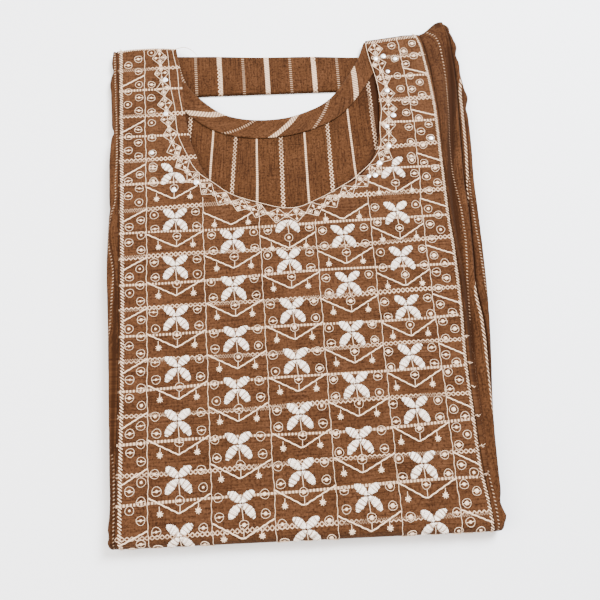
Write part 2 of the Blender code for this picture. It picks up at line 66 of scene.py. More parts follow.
# The right side from the seam out, the drop of each fold, and where the woven stripes lie
rightRows = {
    "y":       (243.0, 230.0, 205.0, 180.0, 149.0, 110.0, 68.0, 36.0, -8.0, -44.0, -74.0, -120.0, -156.0, -203.0,
                -236.0, -262.0),
    "seam":    (144.4, 147.4, 150.4, 151.3, 151.8, 149.9, 147.3, 146.7, 147.1, 147.4, 145.7, 142.7, 142.7, 143.2,
                145.0, 146.6),
    "ridge":   (154.0, 156.5, 158.5, 158.3, 157.0, 153.2, 148.6, 147.3, 147.7, 148.0, 146.3, 143.3, 143.3, 143.8,
                145.6, 147.2),
    "valley":  (169.0, 172.4, 172.8, 170.6, 166.8, 161.2, 154.8, 152.4, 152.0, 152.4, 151.6, 148.6, 147.6, 147.6,
                148.6, 149.6),
    "groove":  (172.0, 175.6, 177.0, 176.4, 173.4, 170.0, 166.8, 166.8, 164.4, 162.4, 164.8, 162.4, 160.4, 157.4,
                156.2, 155.0),
    "edge":    (174.8, 180.2, 184.0, 184.8, 184.0, 181.8, 178.2, 177.3, 175.9, 174.2, 171.9, 167.0, 163.2, 160.4,
                159.0, 157.4),
    "valleyDrop": (1.0, 2.2, 4.8, 7.0, 7.0, 6.4, 5.0, 4.0, 3.0, 3.2, 4.8, 3.6, 1.7, 0.9, 0.4, 0.2),
    "secondDrop": (1.2, 1.6, 2.0, 2.4, 2.0, 1.5, 1.0, 1.0, 1.0, 1.3, 1.5, 1.0, 0.7, 0.6, 0.4, 0.2),
    "grooveDrop": (3.0, 4.6, 5.0, 5.2, 4.6, 4.0, 4.2, 5.0, 5.5, 5.3, 5.0, 5.2, 5.4, 5.4, 5.0, 4.6),
    "sleeveDrop": (2.4, 3.4, 3.8, 3.6, 3.2, 2.8, 2.8, 3.0, 3.5, 3.5, 3.8, 5.2, 7.4, 8.4, 8.4, 8.4),
    "dash":    (151.5, 161.2, 165.8, 165.6, 163.0, 158.5, 157.4, 159.1, 157.7, 154.2, 152.2, 150.0, 148.6, 147.0,
                149.3, 149.6),
    "thick":   (186.0, 188.0, 189.0, 188.0, 185.0, 181.0, 178.0, 178.0, 173.0, 160.8, 162.2, 160.9, 159.4, 160.0,
                164.0, 166.0),
    "sleeveThick": (198.0, 197.0, 190.0, 180.6, 177.2, 174.4, 170.2, 167.4, 163.0, 160.0, 158.0, 156.0, 154.0,
                    150.0, 150.0, 150.0),
    "tuck":    (210.0, 208.0, 206.0, 204.0, 200.0, 192.0, 171.0, 168.0, 160.0, 156.0, 154.0, 150.0, 148.0, 146.0,
                146.0, 146.0),
    # the painted shade of the deep fold: where its middle lies, how wide and how strong it is
    "shade":   (174.0, 175.2, 174.6, 171.6, 166.4, 159.4, 153.4, 152.6, 151.6, 150.8, 151.0, 148.0, 148.6, 147.4,
                146.8, 147.0),
    "shadeWidth": (2.0, 3.2, 4.6, 4.8, 4.8, 4.6, 4.6, 4.8, 3.6, 3.0, 3.8, 3.2, 1.6, 1.4, 1.2, 1.0),
    "shadeAmount": (0.25, 0.3, 0.8, 1.0, 1.0, 0.95, 0.95, 0.9, 0.65, 0.7, 1.0, 0.7, 0.4, 0.25, 0.1, 0.1),
    "sleeveDash": (200.0, 196.0, 190.0, 186.0, 182.0, 178.5, 171.9, 170.8, 171.6, 171.5, 173.5, 176.0, 177.0,
                   178.0, 178.0, 178.0),
}
# Small bumps of a folded edge: y, how far it is pushed in x, and half-width
leftBumps = ((219.7, 2.2, 5.0), (203.0, -0.8, 5.0), (146.0, 2.4, 4.5), (60.0, 0.8, 6.0), (-239.0, 1.4, 4.0))
rightBumps = ((238.0, 1.9, 3.6), (217.0, 1.5, 4.0), (208.0, -1.9, 4.5), (191.0, -1.3, 7.0), (165.0, 2.5, 7.0),
              (151.0, -1.2, 4.5), (-234.5, -1.6, 5.0), (-247.0, 2.4, 4.0))
frontNeckline = ((-114.0, 242.0), (-110.4, 215.0), (-107.2, 180.0), (-105.2, 152.0), (-98.0, 118.0), (-83.0, 84.0),
                 (-60.0, 66.0), (-28.0, 50.5), (4.0, 49.5), (38.0, 63.0), (66.0, 79.5), (83.5, 106.0),
                 (90.5, 137.0), (93.5, 172.0), (92.6, 207.0), (86.5, 239.0))
backNeckline = ((-114.0, 239.0), (-107.0, 206.0), (-94.8, 185.0), (-72.0, 164.0), (-46.0, 155.2), (-16.0, 153.3),
                (10.0, 157.4), (40.0, 170.6), (62.0, 195.0), (76.0, 217.0), (85.0, 238.0))
topLine = ((-177.0, 243.0), (-160.0, 244.6), (-141.0, 244.7), (-126.0, 243.6), (-114.0, 242.0), (86.5, 239.0),
           (100.0, 240.2), (114.0, 241.6), (128.0, 243.0), (150.0, 243.0))


# A rise from 0 to 1 that starts and ends level: 3 s squared less 2 s cubed
def smooth(share):
    share = np.clip(share, 0.0, 1.0)
    return share * share * (3.0 - 2.0 * share)


# A column of a table at y, on a cubic curve whose slope at each row is the mean of its neighbours'
def reader(rows, bumps):
    order = np.argsort(rows["y"])
    known = np.array(rows["y"], dtype=float)[order]

    # 3 t squared less 2 t cubed of the way from row to row, and each row's slope faded in and out
    def read(name, y):
        values = np.array(rows[name], dtype=float)[order]
        slopes = np.gradient(values, known)
        y = np.clip(y, known[0], known[-1])
        span = np.clip(np.searchsorted(known, y) - 1, 0, len(known) - 2)
        width = known[span + 1] - known[span]
        t = (y - known[span]) / width
        rise = values[span + 1] - values[span]
        value = (values[span] + rise * (3 * t**2 - 2 * t**3)
                 + width * (slopes[span] * (t**3 - 2 * t**2 + t) + slopes[span + 1] * (t**3 - t**2)))
        if name in ("edge", "groove"):
            value = value + sum(push * np.exp(-((y - at) / reach)**2) for at, push, reach in bumps
                                if name == "edge" or at < -200.0)
        return value
    return read


left, right = reader(leftRows, leftBumps), reader(rightRows, rightBumps)


# A smooth curve through the points: a cubic between each two, from them and their neighbours
def spline(points, perSpan):
    points = np.array(points, dtype=float)
    padded = np.vstack([2 * points[0] - points[1], points, 2 * points[-1] - points[-2]])
    t = np.arange(perSpan)[:, None] / perSpan
    runs = [0.5 * (2 * b + (c - a) * t + (2 * a - 5 * b + 4 * c - d) * t**2 + (3 * b - a - 3 * c + d) * t**3)
            for a, b, c, d in zip(padded[:-3], padded[1:-2], padded[2:-1], padded[3:])]
    return np.vstack(runs + [points[-1:]])


# Length along a path up to each of its points
def arcs(path):
    return np.concatenate([[0.0], np.cumsum(np.linalg.norm(np.diff(path, axis=0), axis=1))])


# Points at equal distances along a path, step apart or count of them
def resample(path, step=None, count=None):
    path = np.asarray(path, dtype=float)
    along = arcs(path)
    count = count or max(2, int(round(along[-1] / step)) + 1)
    at = np.linspace(0.0, along[-1], count)
    return np.stack([np.interp(at, along, path[:, axis]) for axis in range(path.shape[1])], axis=1)


# For each point of a 2-D line, the step to its left that keeps a parallel line one unit away
def sideways(line):
    run = np.diff(line, axis=0)
    run /= np.maximum(np.linalg.norm(run, axis=1), 1e-9)[:, None]
    before, after = np.vstack([run[:1], run]), np.vstack([run, run[-1:]])
    middle = before + after
    middle /= np.maximum(np.linalg.norm(middle, axis=1), 1e-9)[:, None]
    stretch = 1.0 / np.maximum((middle * after).sum(axis=1), 0.6)
    return np.stack([-middle[:, 1], middle[:, 0]], axis=1) * stretch[:, None]


# A point is inside when a ray from it towards greater x crosses the polygon an odd number of times
def insidePolygon(points, polygon):
    a, b = polygon, np.roll(polygon, -1, axis=0)
    x, y = points[:, 0, None], points[:, 1, None]
    spans = (a[:, 1] > y) != (b[:, 1] > y)
    with np.errstate(divide="ignore", invalid="ignore"):
        crossing = a[:, 0] + (b[:, 0] - a[:, 0]) * (y - a[:, 1]) / (b[:, 1] - a[:, 1])
    return ((spans & (crossing > x)).sum(axis=1) % 2) == 1


# The nearest point of a path, its distance and its place along the path, for each point
def nearestOn(points, path):
    a, run = path[:-1], np.diff(path, axis=0)
    share = np.clip(((points[:, None, :] - a) * run).sum(axis=2) / (run**2).sum(axis=1), 0.0, 1.0)
    near = a + run * share[..., None]
    distance = np.linalg.norm(near - points[:, None, :], axis=2)
    best = distance.argmin(axis=1)
    rows = np.arange(len(points))
    along = arcs(path)[best] + share[rows, best] * np.linalg.norm(run, axis=1)[best]
    return near[rows, best], distance[rows, best], along


# Soft unevenness from -1 to 1: four sine waves of different length and direction
def ripple(x, y, scale, seed):
    total = 0.0
    for step in range(4):
        turn = seed * 1.7 + step * 2.399
        wave = 6.283 / (scale * (1.0 + 0.37 * step))
        total = total + np.sin((x * np.cos(turn) + y * np.sin(turn)) * wave + seed * 3.1 + step)
    return total / 2.6


# Soft troughs and ridges, each a bell-shaped rise along a slightly bowed line that fades at its ends
def creases(rows, x, y):
    total = np.zeros(np.shape(x))
    for x0, y0, x1, y1, width, rise in rows:
        runX, runY = x1 - x0, y1 - y0
        length = np.hypot(runX, runY)
        t = ((x - x0) * runX + (y - y0) * runY) / length**2
        bow = 0.06 * length * np.sin(np.pi * np.clip(t, 0, 1)) * np.sin(x0 + y1)
        off = ((x - x0) * runY - (y - y0) * runX) / length + bow
        taper = smooth((t + 0.12) / 0.3) * smooth((1.12 - t) / 0.3)
        total = total + rise * np.exp(-(off / width)**2) * taper
    return total


# A piece's creases with its ripples, each an amount, a scale and a seed
def unevenness(piece, x, y):
    total = creases(piece["creases"], x, y)
    for amount, scale, seed in piece["ripples"]:
        total = total + amount * ripple(x, y, scale, seed)
    return total


# y of the bottom fold's axis: half the packet's height in from its slanting end
def bottomAxis(x):
    return packet["bottomAtMiddle"] + packet["bottomSlope"] * x + foldRadius


# Level over the body, then a smooth fall to the shoulders, with a low product of two sine waves
def packetHeight(x, y):
    span = packet["slopeEnd"] - packet["slopeStart"]
    fall = (packet["height"] - packet["shoulderHeight"]) * smooth((y - packet["slopeStart"]) / span)
    wave = np.sin(x / 31.0 + y / 47.0) * np.sin(y / 39.0 - x / 83.0)
    return packet["height"] - fall + packet["wave"] * wave * smooth((y - bottomAxis(x) - 6.0) / 50.0)


# The packet's height less the square of how far y has come along the roll at the shoulder
def frontHeight(x, y):
    reach = packet["rollReach"]
    roll = np.clip((y - packet["shoulderLine"] + reach) / reach, 0.0, 1.2) ** 2
    return packetHeight(x, y) - packet["shoulderRoll"] * roll


# The packet's height less the plies of the front, and a smooth dip that is elliptical in plan
def backHeight(x, y):
    wide, long = packet["dipReach"]
    reach = (x / wide) ** 2 + ((y - packet["dipMiddle"]) / long) ** 2
    return packetHeight(x, y) - packet["underFront"] - packet["neckDip"] * smooth(1.0 - reach)


# Cloth that runs along y, depth below the front's top. Past the fold's axis, y is arc length: the cloth
# follows a half circle about the axis and comes out underneath.
def foldUnder(x, y, depth, relief=0.0):
    axis = bottomAxis(x)
    turn = np.clip((axis - y) / foldRadius, 0.0, np.pi)
    flat = y >= axis
    radius = foldRadius - depth + relief
    foldedY = np.where(flat, y, axis - radius * np.sin(turn))
    top = frontHeight(x, np.maximum(y, axis)) - depth + relief
    z = np.where(flat, top, foldRadius + radius * np.cos(turn))
    return np.stack([x, foldedY, np.maximum(z, 0.05)], axis=-1)


# Six times the volume that the faces enclose, positive when they point outwards
def enclosed(points, faces):
    a, b, c, d = (points[faces[:, k]] for k in range(4))
    return (np.cross(b - a, c - a) * a).sum() + (np.cross(c - a, d - a) * a).sum()


# A mesh and its object from points, faces and uv; the faces turn round where they enclose less than nothing.
# uv may have a third column, from 0 to 1: the painted shade each point gets, and on stitches also a random darker tone.
def makePiece(name, points, faces, uv, material, slot):
    points, uv = np.asarray(points, dtype=float), np.asarray(uv, dtype=np.float32)
    if isinstance(faces, np.ndarray):
        faces = (faces if enclosed(points, faces) > 0 else faces[:, ::-1]).tolist()
    mesh = bpy.data.meshes.new(name)
    mesh.from_pydata((points * toMetres).tolist(), [], faces)
    layer = mesh.uv_layers.new(name="cloth")
    corner = np.empty(len(mesh.loops), dtype=np.int32)
    mesh.loops.foreach_get("vertex_index", corner)
    layer.data.foreach_set("uv", uv[corner, :2].ravel())
    if uv.shape[1] > 2:
        mesh.attributes.new("paintedShadeAndTone", "FLOAT", "POINT").data.foreach_set("value", np.ascontiguousarray(uv[:, 2]))
    mesh.shade_smooth()
    piece = bpy.data.objects.new(name, mesh)
    bpy.context.scene.collection.objects.link(piece)
    mesh.materials.append(material)
    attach(piece, "root")
    return piece


# The quads of a grid of points, row by row
def gridFaces(rows, columns):
    at = np.arange(rows * columns).reshape(rows, columns)
    return np.stack([at[:-1, :-1], at[:-1, 1:], at[1:, 1:], at[1:, :-1]], axis=-1).reshape(-1, 4)


# The edges that belong to one face alone, in that face's direction
def rimEdges(faces, count):
    edges = np.vstack([faces[:, [0, 1]], faces[:, [1, 2]], faces[:, [2, 3]], faces[:, [3, 0]]])
    key = np.sort(edges, axis=1)
    _, first, times = np.unique(key[:, 0] * count + key[:, 1], return_index=True, return_counts=True)
    return edges[first[times == 1]]


# Closes a top and an underside, which share faces, with a rounded rim; bulge is how far it stands out
def shell(top, under, faces, uv, bulge=0.35):
    count = len(top)
    rim = rimEdges(faces, count)
    run = top[rim[:, 1]] - top[rim[:, 0]]
    wall = under - top
    out = np.zeros_like(top)
    for end in (0, 1):
        np.add.at(out, rim[:, end], np.cross(run, -wall[rim[:, end]]))
    size = np.linalg.norm(out, axis=1, keepdims=True)
    out = out / np.maximum(size, 1e-9)
    onRim = np.unique(rim)
    place = np.full(count, -1)
    place[onRim] = 2 * count + np.arange(len(onRim))
    middle = 0.5 * (top[onRim] + under[onRim]) + out[onRim] * bulge
    a, b = rim[:, 0], rim[:, 1]
    upper = np.stack([b, a, place[a], place[b]], axis=1)
    lower = np.stack([place[b], place[a], a + count, b + count], axis=1)
    return (np.vstack([top, under, middle]), np.vstack([faces, faces[:, ::-1] + count, upper, lower]),
            np.vstack([uv, uv, uv[onRim]]))


# A grid whose cells inside the neckline are left out, with the edge's points moved onto the neckline
def clippedGrid(x, y, neckline):
    plan = np.stack([x.ravel(), y.ravel()], axis=1)
    faces = gridFaces(*x.shape)
    path = spline(neckline, 12)
    polygon = np.vstack([path, [path[-1, 0] - 2.0, 300.0], [path[0, 0] + 2.0, 300.0]])
    cut = insidePolygon(plan[faces].mean(axis=1), polygon)
    border = np.intersect1d(np.unique(faces[~cut]), np.unique(faces[cut]))
    plan[border] = nearestOn(plan[border], path)[0]
    used, packed = np.unique(faces[~cut], return_inverse=True)
    return plan[used], packed.reshape(-1, 4)


# A shader value that adds, multiplies and so on through Math nodes
class Value:
    def __init__(self, finish, socket):
        self.finish, self.socket = finish, socket

    # A Math node of this value and others; first is a value that comes before it
    def math(self, kind, *others, clamp=False, first=None):
        node = self.finish.nodes.new("ShaderNodeMath")
        node.operation, node.use_clamp = kind, clamp
        values = (self, *others) if first is None else (first, self)
        for slot, value in zip(node.inputs, values):
            self.finish.feed(slot, value)
        return Value(self.finish, node.outputs[0])

    def __add__(self, other):
        return self.math("ADD", other)

    __radd__ = __add__

    def __sub__(self, other):
        return self.math("SUBTRACT", other)

    def __rsub__(self, other):
        return self.math("SUBTRACT", first=other)

    def __mul__(self, other):
        return self.math("MULTIPLY", other)

    __rmul__ = __mul__

    def __truediv__(self, other):
        return self.math("DIVIDE", other)

    def __rtruediv__(self, other):
        return self.math("DIVIDE", first=other)

    def __abs__(self):
        return self.math("ABSOLUTE")

    # What is left over when whole spans are taken off
    def wrap(self, span):
        return self.math("FLOORED_MODULO", span)

    # 1 where the value is below the edge, 0 above it
    def below(self, edge, soft):
        return ((edge - self) / soft).math("ADD", 0.5, clamp=True)

    # 0 at start, 1 at end
    def between(self, start, end):
        return (self - start).math("DIVIDE", end - start, clamp=True)


# One procedural material: a Principled shader and the nodes that feed it
class Finish:
    def __init__(self, name, roughness, sheen=0.0, specular=0.03, metallic=0.0):
        self.material = bpy.data.materials.new(name)
        self.material.use_nodes = True
        self.nodes, self.links = self.material.node_tree.nodes, self.material.node_tree.links
        self.shader = self.nodes["Principled BSDF"]
        for socket, number in (("Roughness", roughness), ("Specular IOR Level", specular),
                               ("Metallic", metallic), ("Sheen Weight", sheen), ("Sheen Roughness", 0.6)):
            self.shader.inputs[socket].default_value = number
        self.shader.inputs["Sheen Tint"].default_value = (0.9, 0.7, 0.55, 1.0)

    # Puts a link, a colour or a number into a socket
    def feed(self, slot, value):
        if isinstance(value, Value):
            self.links.new(value.socket, slot)
        elif isinstance(value, tuple) and slot.type == "RGBA":
            slot.default_value = (*value, 1.0)
        else:
            slot.default_value = value

    # Any node but Math: its settings first, then the values or links of its sockets
    def node(self, kind, inputs, output=0, **settings):
        node = self.nodes.new("ShaderNode" + kind)
        for name, setting in settings.items():
            setattr(node, name, setting)
        for name, value in inputs.items():
            self.feed(node.inputs[name], value)
        return Value(self, node.outputs[output])

    # Along and across the woven stripes or the stitched line, in millimetres
    def clothPlace(self):
        place = self.node("UVMap", {}, uv_map="cloth")
        return tuple(self.node("SeparateXYZ", {0: place}, output=axis) for axis in ("X", "Y"))

    # Smooth noise from 0 to 1 at a point whose coordinates are already scaled
    def noise(self, x, y, z=0.0, detail=2.0, rough=0.55):
        where = self.node("CombineXYZ", {"X": x, "Y": y, "Z": z})
        return self.node("TexNoise", {"Vector": where, "Scale": 1.0, "Detail": detail, "Roughness": rough})

    # The first colour where share is 0, the second where it is 1
    def mix(self, share, first, second):
        return self.node("Mix", {0: share, 6: first, 7: second}, output=2, data_type="RGBA")

    # Colour and bump go to the shader; distance is the bump's depth in millimetres
    def done(self, colour, height, strength, distance):
        self.feed(self.shader.inputs["Base Color"], colour)
        bump = self.node("Bump", {"Strength": strength, "Distance": distance * toMetres, "Height": height})
        self.feed(self.shader.inputs["Normal"], bump)
        return self.material


clothColours = {
    "brown": (0.0585, 0.0234, 0.0091), "dark": (0.0215, 0.0074, 0.0027), "light": (0.088, 0.0370, 0.0168),
    "cream": (0.68, 0.46, 0.305), "creamShade": (0.24, 0.14, 0.08),
}


# A cloth colour with each channel times a power of the tone, so that darker cloth is also redder
def toned(name, tone):
    return tuple(channel * tone**power for channel, power in zip(clothColours[name], (1.0, 1.3, 2.1)))


weave = {
    # each noise's scale along and across, what is added to the seed, its detail and its roughness
    "noises": {"warp": (0.035, 0.8, 3.0, 3.0, 0.6), "weft": (0.65, 0.05, 7.0, 3.0, 0.6),
               "flecks": (0.45, 0.45, 11.0, 3.0, 0.6), "patch": (0.04, 0.04, 0.0, 2.0, 0.55),
               "rough": (0.9, 0.9, 5.0, 2.0, 0.6)},
    # a noise darkens or lightens the cloth from one of its levels to another, by a share
    "dark": (("warp", 0.52, 0.66, 0.62), ("weft", 0.54, 0.7, 0.42), ("flecks", 0.52, 0.66, 0.74),
             ("rough", 0.53, 0.68, 0.5)),
    "darkPatch": (("patch", 0.48, 0.66, 0.22),),
    "light": (("warp", 0.48, 0.32, 0.5), ("flecks", 0.48, 0.36, 0.55), ("rough", 0.44, 0.3, 0.35),
              ("patch", 0.5, 0.34, 0.3)),
    "threadsAlong": 7.4, "threadsAcross": 6.6,  # radians of the threads' sine waves per millimetre
    "ragged": 0.8, "stray": 0.9,  # how uneven a stripe's edge is, and how far it strays from its line
    # how much each part raises the bump
    "threadRise": 0.35, "slubRise": 0.6, "stripeRise": 1.1, "roughRise": 0.5,
}


# Slub weave with woven stripes, thin and thick in turn. Across the cloth the thin ones lie at even
# multiples of the stripe step and the thick ones at odd multiples; noise along each row picks where the
# thick one is solid, hatched or a chain of lozenges, and where it fades.
def clothFinish(name, thin, thick, tone=1.0, slub=1.0, seed=0.0):
    finish = Finish(name, 0.9, sheen=0.03)
    along, across = finish.clothPlace()
    noises = {kind: finish.noise(along * run, across * rise, seed + shift, detail, grain)
              for kind, (run, rise, shift, detail, grain) in weave["noises"].items()}
    warp, weft, rough = noises["warp"], noises["weft"], noises["rough"]

    # The sum of each noise's share, from one of its levels to another
    def total(table, scale=1.0):
        return sum(noises[kind].between(start, end) * (share * scale) for kind, start, end, share in weave[table])

    base = finish.mix(total("light").math("MINIMUM", 1.0), toned("brown", tone), toned("light", tone))
    # painted shade from the mesh attribute adds to the random darkening of the cloth
    paintedShadeAndTone = finish.node("Attribute", {}, output=2, attribute_name="paintedShadeAndTone")
    dark = (total("dark", slub) + total("darkPatch") + paintedShadeAndTone).math("MINIMUM", 1.0)
    base = finish.mix(dark, base, toned("dark", tone))
    threads = (along * weave["threadsAlong"]).math("SINE") * (across * weave["threadsAcross"]).math("SINE")
    edge = (rough - 0.5) * weave["ragged"]
    row = (across * (0.5 / stripeStep)).math("ROUND")
    line = across + (finish.noise(along * 0.02, seed, row, 1.0) - 0.5) * weave["stray"]
    fromThin = abs((line + stripeStep).wrap(2 * stripeStep) - stripeStep)
    fromThick = line.wrap(2 * stripeStep) - stripeStep

    # the thin stripe: blocks along its line, joined where it runs on, weaker where it fades
    beat = (along + line * thin["lean"] + (rough - 0.5) * 0.5).wrap(thin["pitch"])
    blocks = abs(beat - thin["pitch"] / 2).below(thin["pitch"] * thin["duty"] / 2, 0.35)
    fadeThin = finish.noise(along * 0.03, row * 3.1, seed + 2.0, 1.0).between(0.3, 0.55)
    joined = (fadeThin.between(0.35, 0.9) * thin["run"] + thin["fill"]).math("MINIMUM", 0.9)
    thinMask = ((fromThin + edge * 0.7).below(thin["half"], 0.5) * (blocks * (1.0 - joined) + joined)
                * thin["gain"] * (fadeThin * thin["fade"] + (1.0 - thin["fade"])))

    # the thick stripe: v runs from -1 to 1 across it, u counts its lozenges
    v = fromThick / thick["half"]
    u = along / thick["pitch"]
    zig = 2.0 * abs(u.wrap(1.0) - 0.5)
    chain = abs(abs(v) - zig).below(thick["wire"], 0.22)
    if thick["lean"]:
        hatch = abs((along / thick["stroke"] + v * thick["lean"]).wrap(1.0) - 0.5).below(0.2, 0.16)
    else:
        hatch = abs(abs(v) - 2.0 * abs((along / thick["stroke"]).wrap(1.0) - 0.5)).below(0.2, 0.26)
    pick = finish.noise(along * 0.016, row * 3.7, seed + 4.0, 1.0)
    solidShare = pick.between(thick["solidFrom"], thick["solidFrom"] + 0.06)
    hatchShare = pick.between(thick["hatchBelow"], thick["hatchBelow"] - 0.05)
    hatch = hatch * (thick["hatch"] * (1.0 - thick["fill"])) + thick["fill"]
    pattern = finish.node("Mix", {0: hatchShare, 2: chain, 3: hatch})
    pattern = finish.node("Mix", {0: solidShare, 2: pattern, 3: hatch * 0.75 + 0.25})
    fade = finish.noise(along * 0.021, row * 5.3, seed + 6.0, 1.0).between(0.36, 0.56)
    thickMask = ((abs(fromThick) + edge * 0.6).below(thick["half"] + 0.2, 0.6) * pattern
                 * (fade * thick["fade"] + (1.0 - thick["fade"])))

    mask = thinMask.math("MAXIMUM", thickMask)
    cream = finish.mix(rough.between(0.3, 0.7) * 0.3, clothColours["cream"], clothColours["creamShade"])
    # the painted shade also dims the cream stripes
    cream = finish.mix(paintedShadeAndTone * 0.7, cream, clothColours["creamShade"])
    colour = finish.mix(mask * 0.96, base, cream)
    height = (threads * weave["threadRise"] + (warp + weft) * weave["slubRise"] + mask * weave["stripeRise"]
              + rough * weave["roughRise"])
    return finish.done(colour, height, 0.6, 0.4)


# Laid thread: ridges at a slant along the stitched line, darker between them
def threadFinish(name, colour, shade, pitch, slant, roughness, depth=0.75):
    finish = Finish(name, roughness, sheen=0.05, specular=0.15)
    along, across = finish.clothPlace()
    ridge = 1.0 - abs((along / pitch + across * slant).wrap(1.0) - 0.5) * 2.0
    tone = finish.noise(along * 0.5, across * 0.5, 2.0)
    # the attribute adds painted shade (the petal beds and the petals' thin dark stitches); on the other stitches it is
    # a random darker tone
    bed = finish.node("Attribute", {}, output=2, attribute_name="paintedShadeAndTone")
    gap = ridge.below(0.34, 0.3) * depth * tone.between(0.2, 0.6) + tone.between(0.5, 0.75) * 0.3
    gap = (gap + bed).math("MINIMUM", 1.0)
    return finish.done(finish.mix(gap, colour, shade), ridge, 0.6, 0.3)


# Small round mirrors: bright, slightly uneven metal
def sequinFinish(name):
    finish = Finish(name, 0.28, specular=0.6, metallic=0.35)
    along, across = finish.clothPlace()
    tone = finish.noise(along * 0.4, across * 0.4, 4.0)
    return finish.done(finish.mix(tone, (0.95, 0.95, 0.96), (0.80, 0.79, 0.80)), tone, 0.2, 0.2)


print("scene: materials")
plainStripe = {"lean": 0.0, "fill": 0.0, "run": 0.0}
beadStripe = plainStripe | {"half": 1.05, "pitch": 3.0, "duty": 0.5, "fill": 0.05, "run": 0.16, "fade": 0.15,
                            "gain": 1.1}
dashStripe = plainStripe | {"half": 0.75, "pitch": 3.1, "duty": 0.26, "lean": 0.5, "fade": 0.7, "gain": 0.6}
strokeStripe = plainStripe | {"half": 1.4, "pitch": 2.4, "duty": 0.42, "fade": 0.3, "gain": 0.42}
lineStripe = plainStripe | {"half": 0.95, "pitch": 2.4, "duty": 0.6, "fill": 0.4, "fade": 0.1, "gain": 0.95}
frontThick = {"half": 1.9, "pitch": 4.2, "wire": 0.27, "stroke": 2.2, "lean": 0.0, "solidFrom": 0.95,
              "hatchBelow": 0.47, "hatch": 0.42, "fill": 0.0, "fade": 0.35}
sideThick = {"half": 1.05, "pitch": 4.6, "wire": 0.36, "stroke": 4.2, "lean": 0.4, "solidFrom": 0.95,
             "hatchBelow": 1.2, "hatch": 1.0, "fill": 0.0, "fade": 0.0}
facingThick = {"half": 2.2, "pitch": 5.4, "wire": 0.36, "stroke": 2.8, "lean": 0.5, "solidFrom": 0.6,
               "hatchBelow": 1.2, "hatch": 1.0, "fill": 0.3, "fade": 0.0}
bandThick = {"half": 2.2, "pitch": 4.4, "wire": 0.34, "stroke": 2.8, "lean": 0.5, "solidFrom": 0.5,
             "hatchBelow": 0.3, "hatch": 1.0, "fill": 0.45, "fade": 0.0}
insideThick = {"half": 2.0, "pitch": 4.4, "wire": 0.26, "stroke": 2.2, "lean": 0.0, "solidFrom": 0.95,
               "hatchBelow": 0.45, "hatch": 0.6, "fill": 0.0, "fade": 0.5}
# all cloths are the same brown; the lower tones of all but the front are painted shade, for cloth that lies in folds,
# inside the neck or under the front
frontCloth = clothFinish("frontCloth", beadStripe, frontThick, seed=1.0)
sideCloth = clothFinish("sideCloth", dashStripe, sideThick, tone=0.91, slub=1.1, seed=21.0)
insideCloth = clothFinish("insideCloth", lineStripe, insideThick, tone=0.84, slub=1.12, seed=41.0)
facingCloth = clothFinish("facingCloth", strokeStripe, facingThick, tone=0.93, slub=0.9, seed=61.0)
bandCloth = clothFinish("bandCloth", strokeStripe, bandThick, tone=0.87, slub=1.12, seed=81.0)
layersCloth = clothFinish("layersCloth", dashStripe, sideThick, tone=0.9, slub=1.2, seed=101.0)
# the petal thread is lighter than the cream, partly as painted sheen of the satin
threadColours = {"cream": (0.84, 0.61, 0.43), "shade": (0.17, 0.08, 0.036), "petal": (0.98, 0.88, 0.78),
                 "petalShade": (0.26, 0.14, 0.075)}
chainThread = threadFinish("chainThread", threadColours["cream"], threadColours["shade"], 1.15, 0.9, 0.62)
petalThread = threadFinish("petalThread", threadColours["petal"], threadColours["petalShade"], 1.7, 0.1, 0.42, 0.5)
satinThread = threadFinish("satinThread", threadColours["cream"], threadColours["shade"], 2.5, 0.55, 0.5, 0.5)
sequinShine = sequinFinish("sequinShine")

print("scene: centre front")
centreFront = {
    "step": 2.4, "size": (528.0, 322.0), "left": -174.5, "depth": 0.05,
    "seamGap": 0.25, "fade": 30.0,
    "ripples": ((0.16, 21.0, 2.0), (0.09, 9.0, 5.0)), "seamDip": 0.45, "seamDipWidth": 1.3,
    # where the woven rows lie, from the shoulder down; each is 25 mm of cloth from the next
    "rows": (275.0, 245.0, 219.0, 193.0, 164.9, 137.5, 110.5, 84.6, 57.8, 31.6, 7.7, -18.0, -42.4, -68.3, -91.7,
             -116.0, -140.4, -164.7, -190.4, -213.8, -242.1, -266.0, -291.0),
    "firstRow": 75.0,
    # the right border, past which no woven stripe shows
    "border": ((138.6, 243.5), (141.8, 237.0), (144.5, 225.0), (146.0, 210.0), (147.3, 195.0), (148.1, 177.0),
               (148.6, 158.0), (148.2, 140.0), (147.2, 115.0), (146.2, 92.0), (145.5, 65.0), (144.6, 40.0),
               (144.5, 20.0), (145.2, 3.0), (145.0, -16.0), (144.6, -40.0), (143.6, -70.0), (142.2, -90.0),
               (141.0, -110.0), (140.7, -135.0), (140.8, -160.0), (140.3, -190.0), (140.9, -210.0),
               (143.0, -230.0), (143.9, -245.0), (144.6, -268.0)),
    "creases": (
        # x0, y0, x1, y1, width, rise
        (-150, 232, -128, 120, 5.0, -0.5), (-60, 58, -44, 12, 6.0, 0.5), (8, 46, 14, -20, 7.0, -0.4),
        (-160, -30, 20, -52, 6.0, 0.35), (30, -60, 138, -48, 5.0, -0.35), (-90, -120, 60, -138, 7.0, 0.4),
        (-165, -200, -60, -188, 6.0, -0.4), (40, -186, 140, -205, 6.0, 0.45), (108, 230, 116, 120, 5.0, -0.45),
        (92, 100, 60, 40, 6.0, 0.4), (-100, 70, -150, 20, 6.0, 0.35), (100, 30, 140, -10, 5.0, -0.35),
    ),
}


# Distance inwards from the nearer of the two seams
def besideSeam(x, y):
    return np.minimum(x - left("seam", y), right("seam", y) - x)


